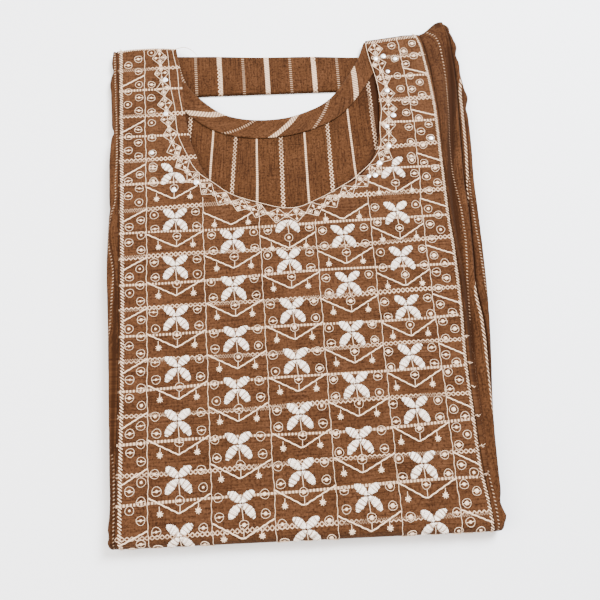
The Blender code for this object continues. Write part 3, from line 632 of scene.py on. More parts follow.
# Creases and soft unevenness, less a narrow bell along each seam; all fades out towards the bottom fold
def frontRelief(x, y):
    flat = smooth((y - bottomAxis(x)) / centreFront["fade"])
    dip = centreFront["seamDip"] * np.exp(-(besideSeam(x, y) / centreFront["seamDipWidth"])**2)
    return (unevenness(centreFront, x, y) - dip) * flat


# A point that lies on the centre front's cloth, lift above it
def onFront(x, y, lift):
    return foldUnder(x, y, -lift, frontRelief(x, y))


# Distance across the woven rows
def acrossRows(x, y):
    rows = np.array(centreFront["rows"])
    at = centreFront["firstRow"] - stripeStep * np.arange(len(rows))
    sag = 0.8 * np.sin(x / 37.0 + y * 0.11) + 1.1 * np.sin(np.pi * (x + 60.0) / 200.0) * np.sin(y * 0.067)
    return np.interp(y + sag, rows[::-1], at[::-1])


# A grid from the bottom fold's far side to the shoulders and from seam to seam, cut out at the neck.
# Right of the border, the distance across stays between two rows, so that no woven stripe shows there.
def buildCentreFront():
    length, width = centreFront["size"]
    v, u = np.meshgrid(np.linspace(0, 1, int(length / centreFront["step"])),
                       np.linspace(0, 1, int(width / centreFront["step"])), indexing="ij")
    roughX = centreFront["left"] + (width - 1.0) * u
    end = bottomAxis(roughX) - np.pi * foldRadius
    y = end + (np.interp(roughX, *np.array(topLine).T) - end) * v
    low, high = left("seam", y) + centreFront["seamGap"], right("seam", y) - centreFront["seamGap"]
    plan, faces = clippedGrid(low + (high - low) * u, y, frontNeckline)
    x, y = plan.T
    border = np.array(centreFront["border"])[::-1]
    rows = acrossRows(x, y)
    past = smooth((x - np.interp(y, border[:, 1], border[:, 0]) + 0.6) / 0.8)
    rows += past * (stripeStep * (np.floor(rows / stripeStep) + 0.5) - rows)
    # the third column is painted shade along both seams, stronger on the left
    uv = np.stack([x, rows, np.where(x > 0, 0.3, 0.6) * np.exp(-(besideSeam(x, y) / 1.1)**2)], axis=1)
    relief, depth = frontRelief(x, y), centreFront["depth"]
    return makePiece("centreFront", *shell(foldUnder(x, y, depth, relief), foldUnder(x, y, depth + cloth, relief),
                                           faces, uv), frontCloth, "centre_front")


front = buildCentreFront()

print("scene: sides")
sides = {
    "step": 3.5, "fade": 26.0, "ripples": ((0.22, 17.0, 3.0), (0.1, 7.0, 4.0)),
    # reach of the left roll and of the sleeve's fold at most, how far the cloth runs on below the left
    # edge, and how deep it lies there at the bottom fold
    "roll": 2.6, "sleeveRoll": 3.0, "under": 9.0, "endDepth": 5.2,
    # depth and width of the groove beside the left seam and of the dip beside the right one
    "leftGroove": (1.5, 0.9), "rightDip": (0.35, 0.8), "swell": 0.7,
    # room between the side front's fold and the sleeve below it, and how far the hidden layers keep from
    # the right seam and from the valley
    "sleeveGap": 1.9, "hiddenGaps": (3.0, 9.0),
    # the sleeve head: how far it rises past the shoulder, how far out from the seam, from which y, how long
    "head": (14.6, 24.5, 172.0, 64.0),
    "creases": (
        (162, 238, 158, 176, 3.0, 0.7), (176, 214, 174, 150, 2.6, -0.6), (166, 150, 156, 84, 2.5, 0.5),
        (152, 24, 158, -40, 2.6, -0.5), (160, -60, 154, -118, 2.4, 0.5), (156, -150, 150, -222, 2.6, -0.4),
        (-178, 200, -180, 130, 2.5, 0.4), (-176, 60, -181, -10, 2.2, -0.4), (-178, -70, -178, -150, 2.4, 0.4),
    ),
}


# Creases and two soft ripples, fading out towards the bottom fold
def sideRelief(x, y):
    return unevenness(sides, x, y) * smooth((y - bottomAxis(x)) / sides["fade"])


# Half an ellipse from depth top to depth low that turns at x = edge; reach is negative when the cloth
# lies on the right of the edge. A notch pulls its middle in, as where two folds meet.
def foldEdge(edge, top, low, reach, notch=0.0):
    angle = np.linspace(0.0, np.pi, 15)
    pull = notch * np.exp(-((angle - np.pi / 2) / 0.35) ** 2)
    x = edge - reach * (1 - np.sin(angle)) - np.sign(reach) * pull
    return np.stack([x, 0.5 * (top + low) - 0.5 * (low - top) * np.cos(angle)], axis=1)


# From the seam, with a narrow groove beside it, over a low swell to the edge, round and back in
def leftFrontSection(y):
    seam, edge = left("seam", y) - 0.2, left("edge", y) + cloth / 2
    height = frontHeight(seam, max(y, bottomAxis(seam)))
    middle = cloth / 2
    turning = smooth((bottomAxis(seam) + sides["fade"] - y) / sides["fade"])
    tuck = (1 - turning) * 0.5 * height + turning * sides["endDepth"]
    reach = min(0.5 * (tuck - middle), sides["roll"], seam - edge - 1.2)
    width = seam - edge - reach
    across = np.linspace(0.0, 1.0, 12)[:-1]
    deep, wide = sides["leftGroove"]
    groove = deep * (1 - turning) * np.exp(-(across * width / wide) ** 2)
    swell = min(sides["swell"], 0.035 * width**2) * np.sin(np.pi * across)**2
    top = np.stack([seam - width * across, middle + groove + swell], axis=1)
    return np.vstack([top, foldEdge(edge, middle, tuck, -reach), [(min(edge + sides["under"], seam + 2.0), tuck)]])


# The fold below the side front: in from the right, round the edge and back along the floor
def leftSleeveSection(y):
    seam, edge = left("seam", y), left("edge", y) + cloth / 2
    height = frontHeight(edge, y)
    top, floor = 0.5 * height + cloth + 0.6, height - cloth / 2
    innerEnd = min(edge + sides["under"] + 0.5, seam + 3.0)
    reach = min(0.5 * (floor - top), sides["roll"])
    return np.vstack([[(innerEnd, top)], foldEdge(edge + 0.2, top, floor, -reach), [(innerEnd, floor)]])


# The right table at y, the height there, half a cloth, the share of full height, the turned leg's depth
def rightValues(y):
    at = {name: float(right(name, y)) for name in rightRows if name != "y"}
    height = float(frontHeight(at["seam"], max(y, bottomAxis(at["seam"]))))
    middle, scale = cloth / 2, height / packet["height"]
    return at, height, middle, scale, middle + at["grooveDrop"] * scale + 1.0


# From the seam along the ridge, a smooth fall into the valley, a smooth rise to the second ridge, round
# its edge and back in
def rightFrontSection(y):
    at, _, middle, scale, leg = rightValues(y)
    second = middle + at["secondDrop"] * scale
    valley = middle + at["valleyDrop"] * scale
    edge = at["groove"] - middle
    reach = 0.5 * (leg - second)
    start = at["seam"] + 0.2
    ridge = max(at["ridge"], start + 0.6)
    flat = np.linspace(0.0, 1.0, 5)[:-1]
    deep, wide = sides["rightDip"]
    fade = smooth((y - bottomAxis(start)) / sides["fade"])
    seamDip = deep * np.exp(-(flat * (ridge - start) / wide) ** 2) * fade
    on = np.stack([start + (ridge - start) * flat, middle + seamDip], axis=1)
    down = np.linspace(0.0, 1.0, 15)
    falls = np.stack([ridge + (at["valley"] - ridge) * down, middle + (valley - middle) * smooth(down)], axis=1)
    up = np.linspace(0.0, 1.0, 11)[1:-1]
    rises = np.stack([at["valley"] + (edge - reach - at["valley"]) * up,
                      valley + (second - valley) * smooth(up)], axis=1)
    return np.vstack([on, falls, rises, foldEdge(edge, second, leg, reach), [(edge - reach - 2.0, leg)]])


# x of the hidden layers' right side, clear of the seam and of the valley
def hiddenRight(y):
    fromSeam, fromValley = sides["hiddenGaps"]
    return np.maximum(right("seam", y) - fromSeam, right("valley", y) - fromValley)


# From under the side front's fold, past its edge, over and back along the floor. The fold above is round,
# and the cloth keeps one gap from it: a quarter circle, or its own depth where that lies lower.
def rightSleeveSection(y):
    at, height, middle, scale, leg = rightValues(y)
    floor = height - middle
    frontReach = 0.5 * (leg - middle - at["secondDrop"] * scale)
    frontCentre = at["groove"] - middle - frontReach
    edge = at["edge"] - middle

    clear = frontReach + sides["sleeveGap"]

    # Depth at x of a quarter circle round the fold above, with the gap added to its radius
    def belowFront(x):
        return leg - frontReach + clear * np.sqrt(1.0 - np.clip((x - frontCentre) / clear, 0.0, 1.0)**2)

    top = middle + at["sleeveDrop"] * scale
    reach = min(0.5 * (floor - top), sides["sleeveRoll"])
    top = max(top, float(belowFront(edge - reach)))
    reach = min(0.5 * (floor - top), sides["sleeveRoll"])
    x = np.linspace(frontCentre - 2.2, edge - reach, 22)
    rise = np.stack([x, np.maximum(top, belowFront(x))], axis=1)
    return np.vstack([rise[:-1], foldEdge(edge, top, floor, reach, 0.1 * (floor - top)),
                      [(float(hiddenRight(y)) + 1.0, floor)]])


# The right side's cloth, whose top end rises to the sleeve head
def liftToShoulder(x, y, depth, relief=0.0):
    placed = foldUnder(x, y, depth, relief)
    rise, width, start, length = sides["head"]
    placed[..., 1] += rise * smooth((x - right("seam", y)) / width) * smooth((y - start) / length)
    return placed


# Arc length, on the upper part of a section with its last point at top, where the right table's x lies
def placeOn(line, s, top, name, y, **outside):
    x = right(name, y)
    return np.interp(x, line[:top, 0], s[:top], right=s[top - 1] + x - line[top - 1, 0], **outside)


# Distances across the woven stripes at each point of a section: arc length from where a stripe lies
def stripesLeft(line, y):
    s = arcs(line)
    top = line[:, 0].argmin() + 1
    away = s - np.interp(-left("dash", y), -line[:top, 0], s[:top])
    return np.where(away < 0, -9.0, 9.0) if -168.0 < y < -80.0 else away


# From the dash stripe as far as the valley, then from the thick one, a stripe's step on
def stripesRightFront(line, y):
    s = arcs(line)
    top = line[:, 0].argmax() + 1
    first = np.minimum(s - placeOn(line, s, top, "dash", y), 9.0)
    if -206.0 < y < -78.0:
        first = np.where(first < 0, -9.0, 9.0)
    second = stripeStep + s - placeOn(line, s, top, "thick", y)
    before = line[:, 0] < max(right("valley", y) - 0.5, right("dash", y) + 1.6)
    return np.where(before, first, np.where(s > s[top - 1], np.maximum(second, 12.0), second))


# From the thick stripe as far as the tuck, then from the dash stripe, a stripe's step on
def stripesRightSleeve(line, y):
    s = arcs(line)
    top = line[:, 0].argmax() + 1
    tuck, thick, dash = (placeOn(line, s, top, name, y, left=right(name, y) - line[0, 0])
                         for name in ("tuck", "sleeveThick", "sleeveDash"))
    return np.where(s < tuck, stripeStep + s - thick, 2 * stripeStep + s - dash)


# Painted shade at each point of a section. Here: beside the seam, more the deeper it lies, and in the fold above the
# sleeve, as the table says
def paintedShadeLeft(line, y):
    beside = np.abs(line[:, 0] - left("seam", y))
    away = (line[:, 0] - left("shade", y)) / left("shadeWidth", y)
    seam = 0.6 * np.exp(-(beside / 1.2)**2) + 0.3 * smooth((line[:, 1] - 2.5) / 5.0)
    return np.maximum(seam, left("shadeAmount", y) * np.exp(-away**4))


# Painted shade in the deep fold, as the table says, more the deeper it lies, towards the turned edge, and along the
# ridge
def paintedShadeRight(line, y):
    away = (line[:, 0] - right("shade", y)) / right("shadeWidth", y)
    fold = right("shadeAmount", y) * np.exp(-away**4)
    low = 0.5 * smooth((line[:, 1] - 2.6) / 3.6)
    turned = 0.55 * smooth((line[:, 0] - right("groove", y) + 2.4) / 1.8) * smooth((170.0 - y) / 30.0)
    ridge = 0.3 * smooth((y + 60.0) / 60.0) * smooth((right("valley", y) + 2.0 - line[:, 0]) / 4.0)
    return np.clip(np.maximum(np.maximum(fold, low), np.maximum(turned, ridge)), 0.0, 1.0)


# Painted shade beside the side front's fold, in a band outside the thick stripe, and more the deeper it lies
def paintedShadeSleeve(line, y):
    beside = np.maximum(line[:, 0] - right("groove", y) - 0.3, 0.0)
    outside = 0.5 * np.exp(-((line[:, 0] - right("sleeveThick", y) - 2.6) / 1.0)**2) * smooth((y - 20.0) / 30.0)
    return np.minimum(0.5 * np.exp(-(beside / 2.4)**2) + outside + 0.3 * smooth((line[:, 1] - 2.0) / 5.0), 1.0)


# A folded wall: its section at each station, carried along y
def ribbon(name, first, section, stripes, paintedShadeAt, place, slot):
    axis = float(bottomAxis(first))
    turning = [] if slot.startswith("sleeve") else list(axis - np.pi * foldRadius * np.linspace(1.0, 0.0, 14)[:-1])
    stations = turning + list(np.arange(axis + 0.5, topEnd, sides["step"])) + [topEnd]
    over, under, uv = [], [], []
    for y in stations:
        line = section(y)
        half = sideways(line) * cloth / 2
        half[0] = (0.0, np.copysign(cloth / 2, half[0, 1]))
        relief = sideRelief(line[:, 0], np.full(len(line), y))
        for side, rows in ((line + half, over), (line - half, under)):
            rows.append(place(side[:, 0], np.full(len(side), y), side[:, 1], relief))
        uv.append(np.stack([np.full(len(line), y), stripes(line, y), paintedShadeAt(line, y)], axis=1))
    over, under, uv = np.array(over), np.array(under), np.array(uv)
    faces = gridFaces(*over.shape[:2])
    return makePiece(name, *shell(over.reshape(-1, 3), under.reshape(-1, 3), faces, uv.reshape(-1, 3)),
                     sideCloth, slot)


sideFrontLeft = ribbon("sideFrontLeft", left("seam", bottomEnd), leftFrontSection, stripesLeft, paintedShadeLeft,
                       foldUnder, "side_front_left")
sideFrontRight = ribbon("sideFrontRight", right("seam", bottomEnd), rightFrontSection, stripesRightFront, paintedShadeRight,
                        liftToShoulder, "side_front_right")
sleeveLeft = ribbon("sleeveLeft", left("edge", bottomEnd), leftSleeveSection, stripesLeft, paintedShadeLeft, foldUnder,
                    "sleeve_left")
sleeveRight = ribbon("sleeveRight", right("edge", bottomEnd), rightSleeveSection, stripesRightSleeve, paintedShadeSleeve,
                     liftToShoulder, "sleeve_right")

print("scene: back")
back = {
    "step": 3.0, "ends": (-241.0, 241.0), "width": 320.0, "leftGap": 3.4, "rightGap": 1.6,
    "ripples": ((0.3, 26.0, 6.0), (0.12, 9.0, 7.0)), "relief": 0.6,
    "neckFrom": 34.0,  # y from which the neck opening may show the back
    "creases": (
        (-88, 128, -52, 84, 4.0, 0.8), (-40, 140, -30, 70, 4.5, -0.7), (-6, 150, -10, 62, 4.0, 0.5),
        (24, 146, 20, 60, 4.5, -0.6), (60, 160, 52, 80, 4.0, 0.7), (82, 190, 78, 110, 3.5, -0.8),
        (-96, 150, -60, 120, 4.0, -0.7), (-70, 74, 60, 62, 6.0, -0.5),
    ),
    # where the woven stripes lie at two values of y
    "stripesAt": (135.0, 65.0),
    "stripes": (-127.0, -103.0, -79.0, -56.0, -35.0, -10.5, 13.7, 37.8, 60.2, 84.5, 109.0, 133.0),
    "stripesLow": (-134.0, -110.0, -85.0, -63.0, -37.4, -12.7, 12.6, 36.7, 61.0, 85.0, 109.5, 134.0),
    "facing": 21.0, "slant": 1.28, "bias": (0.79, 0.61), "neckRoll": (0.9, 2.0),  # the roll's height and width
    # where the facing's woven stripes reach the neck's edge, and how much farther apart they stand beyond
    "facingSpread": 1.62,
    "facingStripes": ((-106.0, 203.0), (-68.4, 160.0), (-34.9, 152.0), (7.8, 156.5), (41.2, 171.4), (69.6, 207.2)),
}


# The back's upper face: its height with creases and ripples, which fade out where the front covers it
def backTop(x, y):
    inNeck = smooth((y - back["neckFrom"]) / 30.0)
    return backHeight(x, y) + unevenness(back, x, y) * inNeck * back["relief"]


# Distance across the back's woven stripes, which spread a little from the first y to the second
def backStripes(x, y):
    high, low = back["stripesAt"]
    drop = np.clip((high - y) / (high - low), -0.6, 1.6)
    shift = np.interp(x, back["stripes"], np.array(back["stripes"]) - back["stripesLow"])
    at = stripeStep * (np.arange(len(back["stripes"])) - 2.0)
    return np.interp(x + shift * drop, back["stripes"], at)


# A grid from seam to seam, coarse under the front, cut out at the neck and following the height below it
def buildBack():
    start, end = back["ends"]
    neck = back["neckFrom"]
    rows = np.concatenate([np.linspace(start, neck, 28)[:-1], np.arange(neck, end, back["step"]), [end]])
    y, u = np.meshgrid(rows, np.linspace(0, 1, int(back["width"] / back["step"])), indexing="ij")
    low, high = left("seam", y) + back["leftGap"], right("seam", y) - back["rightGap"]
    plan, faces = clippedGrid(low + (high - low) * u, y, backNeckline)
    x, y = plan.T
    top = np.stack([x, y, backTop(x, y)], axis=1)
    # painted shadow of the front's neck edge on the back, stronger to the right, and painted shade in the corner under
    # the right strap
    near = nearestOn(plan, spline(frontNeckline, 10))[1]
    shade = (0.25 + 0.5 * smooth((x - 20.0) / 50.0)) * np.exp(-(near / 5.0)**2)
    corner = 0.5 * smooth((x - 66.0) / 14.0) * smooth((y - 128.0) / 50.0)
    uv = np.stack([y, backStripes(x, y), np.minimum(shade + corner, 0.9)], axis=1)
    return makePiece("backBody", *shell(top, top - [0.0, 0.0, cloth], faces, uv), insideCloth, "back_body")


# A bias strip along the back neckline, turned over a narrow roll at the neck's edge. Its woven stripes
# cross it at a slant: one stands where the distance along plus the slant times that across is the same.
def buildFacing():
    line = resample(spline(backNeckline, 12), step=2.0)
    outward = -sideways(line)
    across = np.concatenate([[0.0, 0.4, 1.0, 2.0, 3.2], np.linspace(4.8, back["facing"], 10)])
    high, wide = back["neckRoll"]
    rise = high * np.sqrt(np.clip(across / wide, 0.0, 1.0)) * (1.0 - 0.6 * smooth((across - wide) / 4.0))
    x = line[:, None, 0] + outward[:, None, 0] * across
    y = np.minimum(line[:, None, 1] + outward[:, None, 1] * across, 240.0)
    lie = 0.4 + 0.25 * ripple(x, y, 15.0, 8.0) * (across / back["facing"])
    z = backTop(x, y) + 0.4 + np.maximum(lie, 0.1)
    top = np.stack([x, y, z + rise + 0.3], axis=-1).reshape(-1, 3)
    under = np.stack([x, y, z - 0.35], axis=-1).reshape(-1, 3)
    ends = nearestOn(np.array(back["facingStripes"]), line)[2]
    s = arcs(line)[:, None] + back["slant"] * across
    spread = np.interp(s, ends, stripeStep * np.arange(len(ends)))
    spread = np.where(s > ends[-1], stripeStep * (len(ends) - 1) + (s - ends[-1]) / back["facingSpread"], spread)
    onBias, offBias = back["bias"]
    uv = np.stack([arcs(line)[:, None] * onBias - offBias * across, spread], axis=-1).reshape(-1, 2)
    return makePiece("backNeckFacing", *shell(top, under, gridFaces(*x.shape), uv), facingCloth,
                     "back_neck_facing")


backBody = buildBack()
backNeckFacing = buildFacing()

print("scene: band and hidden layers")
# the skirt's end, turned up behind the neck
band = {
    "lowLeft": (-95.0, 187.8), "lowRight": (55.0, 184.0), "topLeft": (-114.0, 236.5), "topRight": (82.0, 223.6),
    "ends": (-163.0, 160.0), "sections": 110, "height": 2.9, "endHeight": 3.9, "lowDip": 1.1, "fold": 0.9,
    "stripeStart": -94.4, "flatPoints": 15,
    "creases": ((-60, 236, -54, 190, 4.0, 0.35), (10, 232, 14, 188, 5.0, -0.3), (52, 226, 46, 190, 4.0, 0.3)),
}


# y at x on the straight line through two points
def alongLine(first, second, x):
    return first[1] + (second[1] - first[1]) * (x - first[0]) / (second[0] - first[0])


# A section at each x: flat from the low edge to the top, round a narrow fold and back along the floor.
# The low edge dips, and the ends stand higher than the middle.
def buildBand():
    over, under, uv = [], [], []
    count, fold = band["flatPoints"], band["fold"]
    for at in np.linspace(*band["ends"], band["sections"]):
        low = alongLine(band["lowLeft"], band["lowRight"], at)
        top = alongLine(band["topLeft"], band["topRight"], at) + 0.5 * np.sin(at / 17.0)
        height = band["height"] + (band["endHeight"] - band["height"]) * smooth((abs(at + 12.0) - 78.0) / 30.0)
        upper, lower = height - cloth / 2, cloth / 2
        flat = np.linspace(low, top - cloth / 2 - fold, count + 1)[:-1]
        bend = foldEdge(top - cloth / 2, upper, lower, fold)
        line = np.vstack([np.stack([flat, np.full(count, upper)], axis=1), bend, [(low, lower)]])
        half = sideways(line) * cloth / 2
        lift = np.zeros(len(line))
        lift[:count] = creases(band["creases"], np.full(count, at), flat)
        lift[:count] -= band["lowDip"] * (1.0 - smooth((flat - low) / 8.0))
        for side, rows in ((line + half, over), (line - half, under)):
            rows.append(np.stack([np.full(len(side), at), side[:, 0], side[:, 1] + lift], axis=1))
        uv.append(np.stack([arcs(line), np.full(len(line), (at - band["stripeStart"]) * 1.008)], axis=1))
    over, under, uv = (np.array(part) for part in (over, under, uv))
    return makePiece("turnedUpSkirtBand", *shell(over.reshape(-1, 3), under.reshape(-1, 3),
                                                 gridFaces(*over.shape[:2]), uv.reshape(-1, 2)),
                     bandCloth, "turned_up_skirt_band")


skirtBand = buildBand()

# the cloth folded away inside
hidden = {
    "step": 5.0, "size": (430.0, 320.0), "left": -167.0, "width": 306.0,
    # how far it keeps from the bottom fold, the band, the left seam, the back above it and the neck's edge
    "foldGap": 0.4, "bandGap": 1.2, "leftGap": 4.5, "backGap": 0.7, "neckGap": 2.2,
    # at the bottom fold: its gap from the turned-under cloth below, from its own top and in length
    "noseLow": 0.6, "noseHigh": 0.3, "noseIn": 0.9, "fullSetBack": 13.0,
    # share of the height and how far the edge stands back there: two plies with a groove between them
    "levels": ((1.00, 1.8), (0.92, 0.4), (0.84, 0.1), (0.75, 0.1), (0.70, 0.9), (0.68, 1.5), (0.66, 0.9),
               (0.61, 0.1), (0.52, 0.0), (0.42, 0.1), (0.37, 0.9), (0.35, 1.5), (0.33, 0.9), (0.28, 0.1),
               (0.12, 0.0), (0.00, 0.9)),
}


# One rounded solid, flat below. Its wall is a stack of rings, each the outline moved in by the level's
# set-back; at the bottom fold the rings follow half a round instead.
def buildLayers():
    length, width = hidden["size"]
    v, u = np.meshgrid(np.linspace(0, 1, int(length / hidden["step"])),
                       np.linspace(0, 1, int(width / hidden["step"])), indexing="ij")
    roughX = hidden["left"] + hidden["width"] * u
    low = bottomAxis(roughX) + hidden["foldGap"]
    y = low + (alongLine(band["lowLeft"], band["lowRight"], roughX) - hidden["bandGap"] - low) * v
    wide, high = left("seam", y) + hidden["leftGap"], hiddenRight(y)
    neckline = spline(backNeckline, 6)
    beside = neckline - sideways(neckline) * hidden["neckGap"]
    plan, faces = clippedGrid(wide + (high - wide) * u, y, beside)
    x, y = plan.T
    count = len(plan)
    rim = rimEdges(faces, count)
    run = plan[rim[:, 1]] - plan[rim[:, 0]]
    out = np.zeros((count, 2))
    for end in (0, 1):
        np.add.at(out, rim[:, end], np.stack([run[:, 1], -run[:, 0]], axis=1))
    out /= np.maximum(np.linalg.norm(out, axis=1, keepdims=True), 1e-9)
    onRim = np.unique(rim)
    height = backHeight(x, y) - cloth - hidden["backGap"]
    atNose = (y < bottomAxis(x) + hidden["foldGap"] + 0.2)[onRim]
    noseLow, noseHigh = cloth + hidden["noseLow"], height[onRim] - hidden["noseHigh"]
    noseDepth = foldRadius - cloth - hidden["noseIn"]
    points = [np.column_stack([plan, height])]
    place = np.zeros(count, dtype=int)
    place[onRim] = np.arange(len(onRim))
    a, b = rim[:, 0], rim[:, 1]
    above, sideFaces = np.arange(count)[onRim], []
    points[0][onRim, :2] -= out[onRim] * hidden["levels"][0][1] * ~atNose[:, None]
    start = count
    for number, (share, setBack) in enumerate(hidden["levels"][1:], 1):
        scale = np.clip(height[onRim] / hidden["fullSetBack"], 0.2, 1.0)
        ring = np.column_stack([plan[onRim] - out[onRim] * (setBack * scale)[:, None], share * height[onRim]])
        turn = np.pi * number / (len(hidden["levels"]) - 1)
        ring[:, 2] = np.where(atNose, noseLow + (noseHigh - noseLow) * 0.5 * (1 + np.cos(turn)), ring[:, 2])
        ring[:, :2] = np.where(atNose[:, None], plan[onRim] - [0.0, noseDepth * np.sin(turn)], ring[:, :2])
        below = start + np.arange(len(onRim))
        points.append(ring)
        sideFaces.append(np.stack([above[place[b]], above[place[a]], below[place[a]], below[place[b]]], axis=1))
        above, start = below, start + len(onRim)
    floorAt = np.full(count, -1)
    floorAt[onRim] = above
    inner = np.setdiff1d(np.arange(count), onRim)
    floorAt[inner] = start + np.arange(len(inner))
    points.append(np.column_stack([plan[inner], np.zeros(len(inner))]))
    points[-2][:, 2] = np.where(atNose, noseLow, 0.0)
    points = np.vstack(points)
    uv = np.stack([points[:, 1], points[:, 0] - band["stripeStart"]], axis=1)
    return makePiece("foldedLayers", points, np.vstack([faces, floorAt[faces[:, ::-1]], *sideFaces]), uv,
                     layersCloth, "folded_layers")


foldedLayers = buildLayers()

for piece, node in ((front, "centre_front"), (sideFrontLeft, "side_front_left"), (sideFrontRight, "side_front_right"),
                    (sleeveLeft, "sleeve_left"), (sleeveRight, "sleeve_right"), (backBody, "back_body"),
                    (backNeckFacing, "back_neck_facing"), (skirtBand, "turned_up_skirt_band"),
                    (foldedLayers, "folded_layers")):
    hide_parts(node)

print("scene: embroidery")
embroidery = {
    "sink": 0.14, "chain": 1.3, "chainHeight": 0.8, "column": 0.54, "columnHeight": 0.5,
    "ring": 3.85, "ringWire": 0.44, "ringHeight": 0.5, "dot": 2.0, "dotHeight": 0.75, "star": 2.35,
    "neckClear": 9.6, "petalClear": 6.5, "chevronClear": 2.2, "lineClear": 0.8, "ringClear": 11.5, "starClear": 10.5,
    "stem": (0.62, 0.45), "rung": 0.6,  # width and height of a stem, height of a rung
    "petalWidth": ((0.0, 2.0), (0.12, 4.2), (0.3, 6.3), (0.5, 7.3), (0.7, 6.8), (0.88, 5.0), (1.0, 2.9)),
    "upper": ((-0.9, 1.3), (-4.0, 4.6), (-7.4, 7.4), (-10.6, 9.2)),
    "lower": ((-0.7, -1.0), (-4.3, -3.7), (-7.7, -7.7), (-10.2, -12.0)),
    # x of each stitched column at the two values of y, and the columns' ends
    "columnsAt": (50.0, -250.0), "columnEnds": (-268.0, 243.0),
    "columns": ((-144.7, -146.3), (-90.9, -92.4), (-37.1, -38.8), (16.4, 13.9), (69.4, 68.0), (120.0, 118.3)),
    "loneChevrons": ((-64.0, 63.8), (42.8, 62.0)),
    # a chevron, all y from the flower's middle: its ends, with x from their columns, its tip, with x from the
    # flower's, and the y at which the columns' x is taken
    "chevronEnds": ((0.4, -14.4), (-0.4, -14.2)), "chevronTip": ((-1.6, -27.8), (0.0, -28.4), (1.8, -27.9)),
    "chevronMeets": -14.5,
    # from a flower's middle: its stem above and below the ring, the rings and the stars beside it
    "stems": (((0.2, -3.0), (0.9, -14.0), 8), ((1.0, -21.4), (0.7, -27.5), 5)),
    "flowerRings": ((1.0, -17.7), (-20.0, 5.6), (20.0, 6.2), (-19.0, -9.6), (20.5, -9.2)),
    "flowerStars": ((-16.2, -28.0), (16.2, -27.4)),
    # from where a rung leaves its column: the rings beside the right one, and two rows beside the left one
    "rightRings": ((6.3, -11.0), (6.3, -27.0), (6.3, -42.7), (15.6, -18.6), (15.6, -34.2)),
    "leftRings": (-11.0, -26.6, -41.9), "leftOuterRings": (-18.0, -34.0),
    "outerRingX": ((60.0, 200.0), (-161.3, -163.8)),  # x of the outer row, from y to y
    "ringEnds": (-270.0, 239.5), "rungTop": 241.0,
    # the neck band: a diamond's length, how far it reaches up and down, and where the edge line runs
    "diamond": 18.4, "diamondReach": (7.6, 7.8), "edgeLine": 8.2,
    "diamondThread": (0.52, 0.42), "crossThread": (0.45, 0.38), "edgeThread": (0.5, 0.4), "crossReach": 6.4,
    "flowers": (
        (-118.8, 94.6), (-117.4, 44.7), (-118.2, -3.5), (-118.8, -52.4), (-118.3, -99.4), (-119.2, -147.3),
        (-119.8, -195.8), (-119.6, -243.2), (-63.6, 19.7), (-64.9, -27.3), (-64.9, -75.6), (-66.2, -122.4),
        (-67.1, -171.1), (-66.9, -220.2), (-10.6, 36.0), (-11.6, -4.0), (-11.7, -52.8), (-11.7, -100.0),
        (-12.2, -149.3), (-14.0, -197.0), (-13.1, -245.2), (42.0, 16.9), (42.1, -30.4), (40.7, -78.1),
        (40.0, -125.7), (38.6, -174.0), (41.2, -222.0), (97.0, 86.4), (95.2, 37.6), (95.1, -8.8), (94.4, -57.0),
        (92.4, -103.5), (91.0, -151.2), (91.3, -199.0), (95.3, -247.4),
    ),
}


